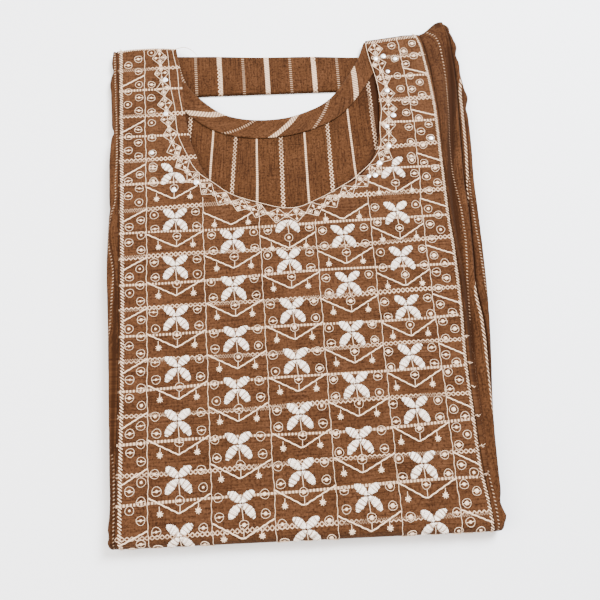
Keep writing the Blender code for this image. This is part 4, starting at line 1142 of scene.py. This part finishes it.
# Where the stitched lines, rings and mirrors lie on the front
stitchLines = {
    "leftColumnTop": ((-147.2, 242.6), (-147.0, 206.0), (-146.4, 157.6), (-145.4, 110.9), (-144.7, 50.0)),
    "rightColumnTop": ((119.6, 242.0), (122.6, 210.6), (123.7, 182.8), (125.1, 138.1), (123.7, 101.9), (122.3, 70.4),
                       (121.0, 50.0)),
    "neckBand": ((-131.6, 241.0), (-129.1, 204.9), (-125.0, 169.1), (-120.1, 132.4), (-110.3, 105.2), (-99.3, 87.3),
                 (-84.7, 73.8), (-71.5, 63.1), (-52.0, 53.7), (-28.4, 44.2), (-11.7, 41.0), (6.2, 41.8),
                 (27.1, 49.3), (48.8, 61.7), (63.4, 69.8), (74.0, 78.4), (85.1, 90.2), (96.5, 110.3),
                 (98.9, 133.3), (101.7, 152.3), (102.5, 175.6), (101.2, 191.2), (96.5, 215.8), (95.0, 237.0)),
    "strapLines": (((-116.5, 241.0), (-114.0, 214.0), (-111.0, 190.0), (-109.5, 160.0)),),
    "strapRings": ((-140.0, 239.0), (-140.0, 200.4), (-140.0, 183.4), (-139.4, 166.3), (-139.4, 153.4), (-139.4, 136.0),
                   (-139.0, 118.3), (-138.6, 102.9), (-138.2, 86.5), (113.8, 230.4), (115.7, 214.6), (116.1, 193.7),
                   (117.2, 178.0), (119.5, 161.4), (118.5, 147.9), (119.0, 130.2), (118.8, 112.8), (117.4, 96.7)),
    "sequins": ((95.1, 215.9), (103.5, 218.6), (115.7, 214.6), (106.1, 199.2), (102.7, 175.8), (105.4, 145.4),
                (97.2, 133.0), (96.7, 109.9), (84.8, 91.0), (79.2, 77.7), (72.8, 77.2), (139.8, 115.7),
                (-125.6, 204.4), (-125.7, 163.5), (-139.4, 118.3), (-118.1, 75.3), (-96.3, 82.2)),
    "looseLoop": ((-117.0, 240.4), (-112.0, 242.4), (-104.7, 243.4), (-98.0, 240.6), (-92.4, 234.8)),
    "tails": ((145.6, -89.1), (144.6, -113.6), (145.6, -135.1), (145.4, -160.8), (145.2, -186.8), (145.4, -211.2)),
    "leftTop": ((-174.0, 241.6), (-160.0, 243.2), (-141.0, 243.4), (-126.0, 242.4), (-116.0, 240.8)),
    "rightTop": ((88.5, 236.6), (100.0, 237.4), (114.0, 238.8), (128.0, 240.0), (139.5, 240.4)),
    "leftBorder": ((-171.4, 244.0), (-171.4, 221.0), (-171.0, 192.0), (-169.7, 135.0), (-168.8, 92.0), (-168.2, 50.0),
                   (-167.8, 0.0), (-167.6, -60.0), (-168.1, -120.0), (-169.1, -165.0), (-169.9, -210.0),
                   (-170.0, -262.0)),
    "rightBorder": centreFront["border"],
    # where each stitched rung leaves its column and where it meets the border
    "leftRungs": ((258.7, 248.0), (211.4, 199.1), (157.1, 143.9), (106.0, 92.5), (56.9, 44.3), (7.1, -4.6),
                  (-42.4, -53.4), (-89.7, -101.8), (-137.5, -150.6), (-185.5, -198.7), (-236.4, -246.6)),
    "rightRungs": ((250.7, 244.0), (202.8, 193.9), (150.9, 142.2), (99.9, 89.2), (49.7, 39.2), (1.2, -9.4),
                   (-47.1, -57.8), (-94.2, -106.0), (-142.9, -154.0), (-191.0, -203.4), (-238.8, -251.0)),
}

# Across a thread, and how high it stands there; a petal has a broader, rounder crown
threadArch = (np.array([-0.5, -0.44, -0.22, 0.22, 0.44, 0.5]), np.array([0.0, 0.62, 1.0, 1.0, 0.62, 0.0]))
petalArch = (np.array([-0.5, -0.48, -0.38, -0.2, 0.0, 0.2, 0.38, 0.48, 0.5]),
             np.array([0.0, 0.45, 0.75, 0.95, 1.0, 0.95, 0.75, 0.45, 0.0]))
stitchArch = (np.array([-0.5, -0.3, 0.0, 0.3, 0.5]), np.array([0.0, 0.75, 1.0, 0.75, 0.0]))


# Collects stitches as closed shells, placed on the cloth when the piece is made
class Stitches:
    def __init__(self):
        self.plan, self.lift, self.uv, self.quads, self.caps, self.count = [], [], [], [], [], 0

    # Adds a set of shells, whose faces count on from the points there already
    def take(self, plan, lift, uv, quads, caps):
        self.plan.append(plan)
        self.lift.append(lift)
        self.uv.append(uv)
        self.quads.append(quads + self.count)
        self.caps += [cap + self.count for cap in caps]
        self.count += len(plan)

    # Threads along paths, an array of paths x points x 2: across each one a low arch, width wide and
    # height high, on a flat underside. Width and height may change along the path.
    def lines(self, paths, width, height, closed=False, lift=0.0, arch=threadArch, shade=0.0):
        paths = np.asarray(paths, dtype=float)
        if paths.ndim == 2:
            paths = paths[None]
        number, steps = paths.shape[:2]
        width = np.broadcast_to(width, (number, steps))[..., None]
        height = np.broadcast_to(height, (number, steps))[..., None]
        lift = np.broadcast_to(lift, (number, steps))[..., None]
        if closed:
            run = np.roll(paths, -1, axis=1) - np.roll(paths, 1, axis=1)
        else:
            run = np.gradient(paths, axis=1)
        run /= np.maximum(np.linalg.norm(run, axis=2, keepdims=True), 1e-9)
        over, up = arch
        count = len(over)
        side = width * over
        plan = paths[:, :, None, :] + np.stack([-run[..., 1, None] * side, run[..., 0, None] * side], axis=-1)
        rise = np.where(up > 0, lift + height * up, lift - embroidery["sink"])
        spans = np.linalg.norm(np.diff(paths, axis=1), axis=2)
        along = np.hstack([np.zeros((number, 1)), np.cumsum(spans, axis=1)])
        along = along[..., None] + 7.3 * np.arange(number)[:, None, None]
        shade = np.broadcast_to(shade, (number, steps))[..., None]
        uv = np.stack([np.broadcast_to(part, side.shape) for part in (along, side, shade)], axis=-1)
        at = np.arange(number * steps * count).reshape(number, steps, count)
        near, far = (at, np.roll(at, -1, axis=1)) if closed else (at[:, :-1], at[:, 1:])
        quads = np.stack([near, far, np.roll(far, -1, axis=2), np.roll(near, -1, axis=2)], axis=-1).reshape(-1, 4)
        caps = [] if closed else list(at[:, 0]) + list(at[:, -1, ::-1])
        self.take(plan.reshape(-1, 2), rise.reshape(-1), uv.reshape(-1, 3), quads, caps)

    # Round knots: rings of points that shrink as they rise; ragged is how uneven their edge is
    def knots(self, centres, radius, height, ragged=0.0, sides=12, lift=0.0):
        centres = np.atleast_2d(centres)
        number = len(centres)
        turn = np.arange(sides) * 2 * np.pi / sides
        share = np.array([1.0, 1.0, 0.82, 0.5, 0.14])
        up = np.array([-0.1, 0.25, 0.8, 1.0, 1.0])
        spin = np.arange(number)[:, None] * 1.9
        radius = np.broadcast_to(radius, number)[:, None]
        reach = radius * (1.0 + ragged * np.sin(8 * turn) + 0.06 * np.sin(3 * turn + 2.3 * spin))
        reach = reach[:, None, :] * share[None, :, None]
        plan = centres[:, None, None, :] + np.stack([reach * np.cos(turn), reach * np.sin(turn)], axis=-1)
        rise = np.broadcast_to(lift + height * up[None, :, None], reach.shape)
        uv = plan - centres[:, None, None, :] + spin[:, :, None, None]
        uv = np.concatenate([uv, np.zeros_like(uv[..., :1])], axis=-1)
        at = np.arange(number * 5 * sides).reshape(number, 5, sides)
        low, high = at[:, :-1], at[:, 1:]
        quads = np.stack([low, np.roll(low, -1, axis=2), np.roll(high, -1, axis=2), high], axis=-1).reshape(-1, 4)
        self.take(plan.reshape(-1, 2), rise.reshape(-1), uv.reshape(-1, 3), quads,
                  list(at[:, 0, ::-1]) + list(at[:, -1]))

    # Rings of thread whose radius swings a little three times round
    def circles(self, centres, radius, width, height, sides=18, lift=0.0):
        turn = np.arange(sides) * 2 * np.pi / sides
        wobble = 1.0 + 0.05 * np.sin(3 * turn + np.arange(len(centres))[:, None] * 2.1)
        wobble = wobble * np.broadcast_to(radius, len(centres))[:, None]
        spot = np.stack([np.cos(turn) * wobble, np.sin(turn) * wobble], axis=-1)
        self.lines(np.asarray(centres)[:, None, :] + spot, width, height, closed=True, lift=lift)

    # Everything laid on the front's cloth, each point at its lift above it
    def piece(self, name, material):
        plan, lift = np.vstack(self.plan), np.concatenate(self.lift)
        faces = np.vstack(self.quads).tolist() + [cap.tolist() for cap in self.caps]
        return makePiece(name, onFront(plan[:, 0], plan[:, 1], lift), faces, np.vstack(self.uv), material,
                         "centre_front")


neckBandPath = spline(stitchLines["neckBand"], 10)
necklinePath = spline(frontNeckline, 10)


# x of a stitched column at y: a straight line between its ends, or its table near the shoulder, with the
# small slips of stitches made by hand
def columnX(number, y):
    x = np.interp(y, embroidery["columnsAt"][::-1], embroidery["columns"][number][::-1])
    upper = {0: "leftColumnTop", 5: "rightColumnTop"}.get(number)
    if upper:
        table = np.array(stitchLines[upper])[::-1]
        x = np.where(y > table[0, 1], np.interp(y, table[:, 1], table[:, 0]), x)
    return x + 0.35 * np.sin(y / 8.3 + number) + 0.28 * np.sin(y / 1.7 + 2 * number)


# True below the neck band and farther from it than distance
def clearOfBand(points, distance):
    away = nearestOn(points, neckBandPath)[1]
    below = nearestOn(points, necklinePath)[1] > away
    return (away > distance) & below


# The parts of a path that stay clear of the neck band
def clipToBand(path, distance):
    keep = clearOfBand(path, distance).astype(int)
    starts = np.flatnonzero(np.diff(np.concatenate([[0], keep])) == 1)
    ends = np.flatnonzero(np.diff(np.concatenate([keep, [0]])) == -1) + 1
    return [path[a:b] for a, b in zip(starts, ends) if b - a > 2]


# Columns, chevrons with the stems of their flowers, and the slanting rungs beside the borders
def stitchChains(chain):
    for number in range(len(embroidery["columns"])):
        y = np.arange(*embroidery["columnEnds"], 1.2)
        line = np.stack([columnX(number, y), y], axis=1)
        if number in (0, 5):
            parts = [line]
        else:
            parts = clipToBand(line, embroidery["lineClear" if number == 2 else "neckClear"])
        for part in parts:
            wide = embroidery["column"] * (1.0 + 0.18 * np.sin(arcs(part) * 2.1))
            chain.lines(part, wide, embroidery["columnHeight"])
    for x, y in embroidery["flowers"] + embroidery["loneChevrons"]:
        number = int(np.argmin([abs(x - 0.5 * (columnX(k, y) + columnX(k + 1, y))) for k in range(5)]))
        low, high = (columnX(k, y + embroidery["chevronMeets"]) for k in (number, number + 1))
        (startX, startY), (endX, endY) = embroidery["chevronEnds"]
        tip = [(x + dx, y + dy) for dx, dy in embroidery["chevronTip"]]
        line = resample([(low + startX, y + startY), *tip, (high + endX, y + endY)], step=1.3)
        line[:, 1] += 0.22 * np.sin(line[:, 0] * 1.1 + y)
        for part in clipToBand(line, embroidery["chevronClear"]):
            s = arcs(part)
            wide = embroidery["chain"] * (1.0 + 0.16 * np.sin(s * 2.3) + 0.07 * np.sin(s * 0.9))
            chain.lines(part, wide, embroidery["chainHeight"], lift=0.12)
        for start, end, count in embroidery["stems"] if (x, y) in embroidery["flowers"] else ():
            chain.lines(resample(np.array([start, end]) + (x, y), count=count), *embroidery["stem"])
    for line, rungs, border in ((0, "leftRungs", "leftBorder"), (5, "rightRungs", "rightBorder")):
        table = np.array(stitchLines[border])[::-1]
        for start, end in stitchLines[rungs]:
            path = resample([(columnX(line, start), start), (np.interp(end, table[:, 1], table[:, 0]), end)], step=1.4)
            path[:, 1] += 0.2 * np.sin(path[:, 0] * 1.3)
            path = path[path[:, 1] < embroidery["rungTop"]]
            if len(path) > 2:
                chain.lines(path, embroidery["chain"], embroidery["rung"], lift=0.06)


# Where the stitched rings and the star-shaped knots lie
def ringCentres():
    rings, stars = [], []
    for x, y in embroidery["flowers"]:
        rings += [(x + dx, y + dy) for dx, dy in embroidery["flowerRings"]]
    for x, y in embroidery["flowers"] + embroidery["loneChevrons"]:
        stars += [(x + dx, y + dy) for dx, dy in embroidery["flowerStars"]]
    rings, stars = np.array(rings), np.array(stars)
    rings = rings[clearOfBand(rings, embroidery["ringClear"])]
    beside = []
    for y, _ in stitchLines["rightRungs"]:
        x = float(columnX(5, y)) - 1.4 * float(smooth((-60.0 - y) / 30.0) * smooth((y + 190.0) / 30.0))
        beside += [(x + dx, y + dy) for dx, dy in embroidery["rightRings"]]
    for y, _ in stitchLines["leftRungs"]:
        x, out = float(columnX(0, y)), np.interp(y, *embroidery["outerRingX"])
        beside += [(x - 6.0, y + dy) for dy in embroidery["leftRings"]]
        beside += [(out, y + dy) for dy in embroidery["leftOuterRings"]]
    beside = np.vstack([beside, stitchLines["strapRings"]])
    low, high = embroidery["ringEnds"]
    beside = beside[(beside[:, 1] < high) & (beside[:, 1] > low)]
    return np.vstack([rings, beside]), stars[clearOfBand(stars, embroidery["starClear"])]


# Each ring holds a knot; most have a thread across, and the knots differ in size
def stitchRings(rings):
    spots, stars = ringCentres()
    number = np.arange(len(spots))
    spots = spots + 0.45 * np.stack([np.sin(7.1 * number), np.cos(5.3 * number)], axis=1)
    rings.circles(spots, embroidery["ring"] * (1.0 + 0.04 * np.sin(3.7 * number)), embroidery["ringWire"],
                  embroidery["ringHeight"])
    onLeft = np.interp(spots[:, 0], (-100.0, 20.0), (0.74, 1.0))
    size = embroidery["dot"] * onLeft * (0.85 + 0.18 * np.sin(2.9 * number + 1.0))
    rings.knots(spots, size, embroidery["dotHeight"], ragged=0.08)
    across = np.stack([np.full(len(spots), 3.7), 0.5 * np.sin(4.3 * number)], axis=1)[number % 4 > 0]
    threads = spots[number % 4 > 0][:, None] + across[:, None] * np.linspace(-1, 1, 6)[None, :, None]
    rings.lines(threads, embroidery["stem"][0], 0.4, lift=0.1)
    rings.knots(stars, embroidery["star"], 0.85, ragged=0.33, sides=32)
    up = np.stack([0.6 * np.sin(np.arange(len(stars)) * 2.0), np.full(len(stars), 6.2)], axis=1)
    rings.lines(stars[:, None] + up[:, None] * np.linspace(0.3, 1.0, 5)[None, :, None], *embroidery["stem"])


# Each petal is a low bed, darker with painted shade for the gaps between stitches, with satin stitches laid across it,
# side by side; none lies under the neck band
def stitchPetals(petals):
    beds, rows = [], []
    for x, y in embroidery["flowers"]:
        for side, leaf in ((-1, "upper"), (1, "upper"), (-1, "lower"), (1, "lower")):
            curve = spline([(x - side * dx, y + dy) for dx, dy in embroidery[leaf]], 8)
            bed = resample(curve, count=9)
            if clearOfBand(bed[4:5], embroidery["petalClear"])[0]:
                beds.append(bed)
                rows.append(resample(curve, count=14))
    beds, rows = np.array(beds), np.array(rows)
    share = np.linspace(0.0, 1.0, beds.shape[1])
    width = np.interp(share, *np.array(embroidery["petalWidth"]).T)
    petals.lines(beds, width[None] * 0.92, 0.55 * np.sin(np.pi * (0.14 + 0.74 * share))[None], arch=petalArch,
                 shade=0.6)
    run = np.gradient(rows, axis=1)
    run /= np.linalg.norm(run, axis=2, keepdims=True)
    out = np.stack([-run[..., 1], run[..., 0]], axis=-1)
    petal, stitch = np.arange(rows.shape[0])[:, None], np.arange(rows.shape[1])[None]
    which = petal * 2.7 + stitch * 4.1
    width = np.interp(np.linspace(0.0, 1.0, rows.shape[1]), *np.array(embroidery["petalWidth"]).T)
    reach = (width[None] / 2 * (1.0 + 0.05 * np.sin(which) + 0.03 * np.sin(which * 2.3)))[..., None]
    shift = (0.2 * np.sin(which * 1.3))[..., None]
    start = rows + out * reach + run * (shift - 0.25)
    end = rows - out * reach + run * (shift + 0.25)
    across = np.linspace(0.0, 1.0, 6)
    stitches = (start[..., None, :] + (end - start)[..., None, :] * across[:, None]).reshape(-1, 6, 2)
    # painted shade: every third or fourth stitch is thin and darkens towards the petal's lower side, for the dark lines
    # between satin stitches
    below = np.where(out[..., 1:] < 0.0, 1.0 - across, across)
    dark = np.clip(np.sin(stitch * 1.7 + petal * 2.7 + 0.9 * np.sin(stitch * 0.6 + petal)), 0.0, 1.0) ** 2
    tone = np.clip(1.3 * dark[..., None] * (0.35 + 0.65 * below), 0.0, 1.0)
    thick = (1.2 - 0.5 * dark).reshape(-1, 1)
    petals.lines(stitches, thick * np.array([0.8, 1.0, 1.0, 1.0, 1.0, 0.8])[None],
                 0.3 * np.array([0.7, 1.0, 1.0, 1.0, 1.0, 0.7])[None],
                 lift=0.62 * np.sin(np.pi * np.linspace(0.08, 0.92, 6))[None], arch=stitchArch,
                 shade=tone.reshape(-1, 6))


# Slanting satin stitches side by side along a border line
def stitchBorder(satin, path, width, slant, pitch, height=0.7, wire=1.3, upper=1.0):
    line = resample(spline(path, 10), step=pitch)
    out = sideways(line)
    run = np.stack([out[:, 1], -out[:, 0]], axis=1)
    number = np.arange(len(line))
    width = width * (1.0 + (upper - 1.0) * smooth((line[:, 1] - 190.0) / 24.0))
    reach = (width / 2 * (1.0 + 0.12 * np.sin(number * 2.3) + 0.08 * np.sin(number * 5.1)))[:, None]
    ends = out * reach + run * (slant + 0.25 * np.sin(number * 3.3))[:, None]
    stitches = line[:, None] - ends[:, None] * np.linspace(-1.0, 1.0, 7)[None, :, None]
    thick = wire * (1.0 + 0.14 * np.sin(number * 1.7) + 0.08 * np.sin(number * 4.3))[:, None]
    tone = 0.16 + 0.16 * np.sin(number * 2.9) * np.sin(number * 0.7)
    satin.lines(stitches, thick * np.array([0.5, 0.9, 1.0, 1.05, 1.0, 0.9, 0.5])[None],
                height * np.array([0.3, 0.8, 1.0, 1.0, 1.0, 0.8, 0.3])[None], shade=tone[:, None])


# A chain of diamonds along the neck, each with a cross and four small knots, under a fine edge line
def stitchNeckBand(chain, rings):
    half = 8  # steps along half a diamond
    number = int(round(arcs(neckBandPath)[-1] / embroidery["diamond"]))
    path = resample(neckBandPath, count=number * 2 * half + 1)
    out = sideways(path)
    knots = []
    up, down = embroidery["diamondReach"]
    cross = embroidery["crossReach"]
    for start in range(0, len(path) - 2 * half, 2 * half):
        a, m, b, n = path[start], path[start + half], path[start + 2 * half], out[start + half]
        wave = 0.7 * np.sin(start * 0.9)
        far, near = m + n * (up + wave), m - n * (down - wave)
        chain.lines(resample([a, far, b, near, a], step=1.2)[:-1], *embroidery["diamondThread"], closed=True)
        for arm in ([0.85 * a + 0.15 * m, 0.85 * b + 0.15 * m], [m + n * cross, m - n * cross]):
            chain.lines(resample(arm, step=1.6), *embroidery["crossThread"])
        knots += [m + (b - m) * 0.52, m + (a - m) * 0.52, m + n * 4.0, m - n * 4.0, a]
    knots = np.array(knots)
    size = 1.42 + 0.32 * np.sin(np.arange(len(knots)) * 2.2)
    rings.circles(knots[::2], 2.2, 0.5, 0.45, sides=12)
    rings.knots(knots, size * 0.9, 0.75, ragged=0.1)
    away = embroidery["edgeLine"] + 0.5 * np.sin(arcs(path) / 9.0)
    chain.lines(path + out * away[:, None], *embroidery["edgeThread"])
    for line in stitchLines["strapLines"]:
        edge = resample(spline(line, 8), step=1.6)
        edge[:, 0] += 0.9 * np.sin(edge[:, 1] / 8.0)
        chain.lines(edge, 0.5, 0.35)


# Round mirrors and bright knots scattered along the neck
def stitchSequins(sequins):
    spots = np.array(stitchLines["sequins"])
    sequins.knots(spots, 2.4 + 0.3 * np.sin(np.arange(len(spots)) * 1.7), 0.55, sides=16, lift=0.45)


# Ends of thread left loose beyond the right border, each a small curl
def stitchTails(chain):
    loop = resample(spline(stitchLines["looseLoop"], 8), count=24)
    chain.lines(loop, 0.4, 0.4, lift=np.interp(np.arange(24), (0, 10, 23), (0.2, -0.2, -3.6))[None])
    t = np.linspace(0.0, 1.0, 15)
    for number, (x, y) in enumerate(stitchLines["tails"]):
        reach, swing = 4.4 + 0.8 * np.sin(2.1 * number), 0.6 + 0.3 * np.sin(3.3 * number)
        curl = np.stack([x - 3.0 + reach * t + 1.1 * np.sin(2.2 * np.pi * t),
                         y + swing * np.sin(3.1 * np.pi * t + number)], axis=1)
        chain.lines(curl, 0.52, 0.4, lift=0.25, shade=0.25)
        chain.lines(curl[3:13] + [0.5, -1.1], 0.45, 0.35, lift=0.25, shade=0.3)


chain, rings, petals, satin, sequins = (Stitches() for _ in range(5))
stitchChains(chain)
stitchRings(rings)
stitchPetals(petals)
stitchBorder(satin, stitchLines["leftBorder"], 3.3, 1.6, 2.9, wire=1.2)
stitchBorder(satin, stitchLines["rightBorder"], 2.6, 1.7, 2.9, wire=1.0, upper=0.75)
stitchBorder(satin, stitchLines["leftTop"], 1.7, 0.9, 2.3, 0.5, 0.95)
stitchBorder(satin, stitchLines["rightTop"], 3.6, 1.5, 2.7, 0.5, 0.85)
stitchNeckBand(chain, rings)
stitchSequins(sequins)
stitchTails(chain)
chainWork = chain.piece("chainWork", chainThread)
ringWork = rings.piece("ringWork", chainThread)
petalWork = petals.piece("petalWork", petalThread)
borderWork = satin.piece("borderWork", satinThread)
sequinWork = sequins.piece("sequinWork", sequinShine)

print("scene: stage")
studio = {
    "camera": (-22.2, -207.6, 596.8), "cameraTurn": (-0.2748, 0.0302, 0.068), "lens": 39.0,
    "sensor": 36.0, "floorReach": 4.0, "floorLevel": -0.0004,  # the floor's are in metres
    "floor": (0.945, 0.945, 0.965), "room": (1.0, 0.972, 0.94), "roomLight": 1.45,
    # x, y, z, size, watts, colour
    "lamps": ((830.0, 830.0, 1440.0, 800.0, 126.0, (0.9, 0.945, 1.0)),
              (-900.0, -150.0, 1000.0, 1000.0, 27.0, (1.0, 0.95, 0.88))),
}


# A wide white floor, a broad lamp behind on the right, a weak one on the left, and an even room
def buildStage():
    scene = bpy.context.scene
    mesh = bpy.data.meshes.new("floor")
    corners = [(x * studio["floorReach"], y * studio["floorReach"], studio["floorLevel"])
               for x, y in ((-1, -1), (1, -1), (1, 1), (-1, 1))]
    mesh.from_pydata(corners, [], [(0, 1, 2, 3)])
    floor = bpy.data.objects.new("floor", mesh)
    scene.collection.objects.link(floor)
    finish = Finish("floorPaper", 0.9, specular=0.1)
    finish.shader.inputs["Base Color"].default_value = (*studio["floor"], 1.0)
    mesh.materials.append(finish.material)
    for number, (x, y, z, size, watts, colour) in enumerate(studio["lamps"]):
        lamp = bpy.data.lights.new(f"lamp{number}", "AREA")
        lamp.energy, lamp.size, lamp.color = watts, size * toMetres, colour
        holder = bpy.data.objects.new(lamp.name, lamp)
        place = Vector((x, y, z)) * toMetres
        aim = place.to_track_quat("Z", "Y").to_matrix().to_4x4()
        holder.matrix_world = Matrix.Translation(place) @ aim
        scene.collection.objects.link(holder)
    world = bpy.data.worlds.new("room")
    world.use_nodes = True
    sky = world.node_tree.nodes["Background"]
    sky.inputs["Color"].default_value = (*studio["room"], 1.0)
    sky.inputs["Strength"].default_value = studio["roomLight"]
    scene.world = world
    camera = bpy.data.objects.new("camera", bpy.data.cameras.new("camera"))
    camera.data.lens, camera.data.sensor_width = studio["lens"], studio["sensor"]
    turn = Euler(studio["cameraTurn"]).to_matrix().transposed().to_4x4()
    camera.matrix_world = Matrix.Translation(Vector(studio["camera"]) * toMetres) @ turn
    scene.collection.objects.link(camera)
    scene.camera = camera


buildStage()
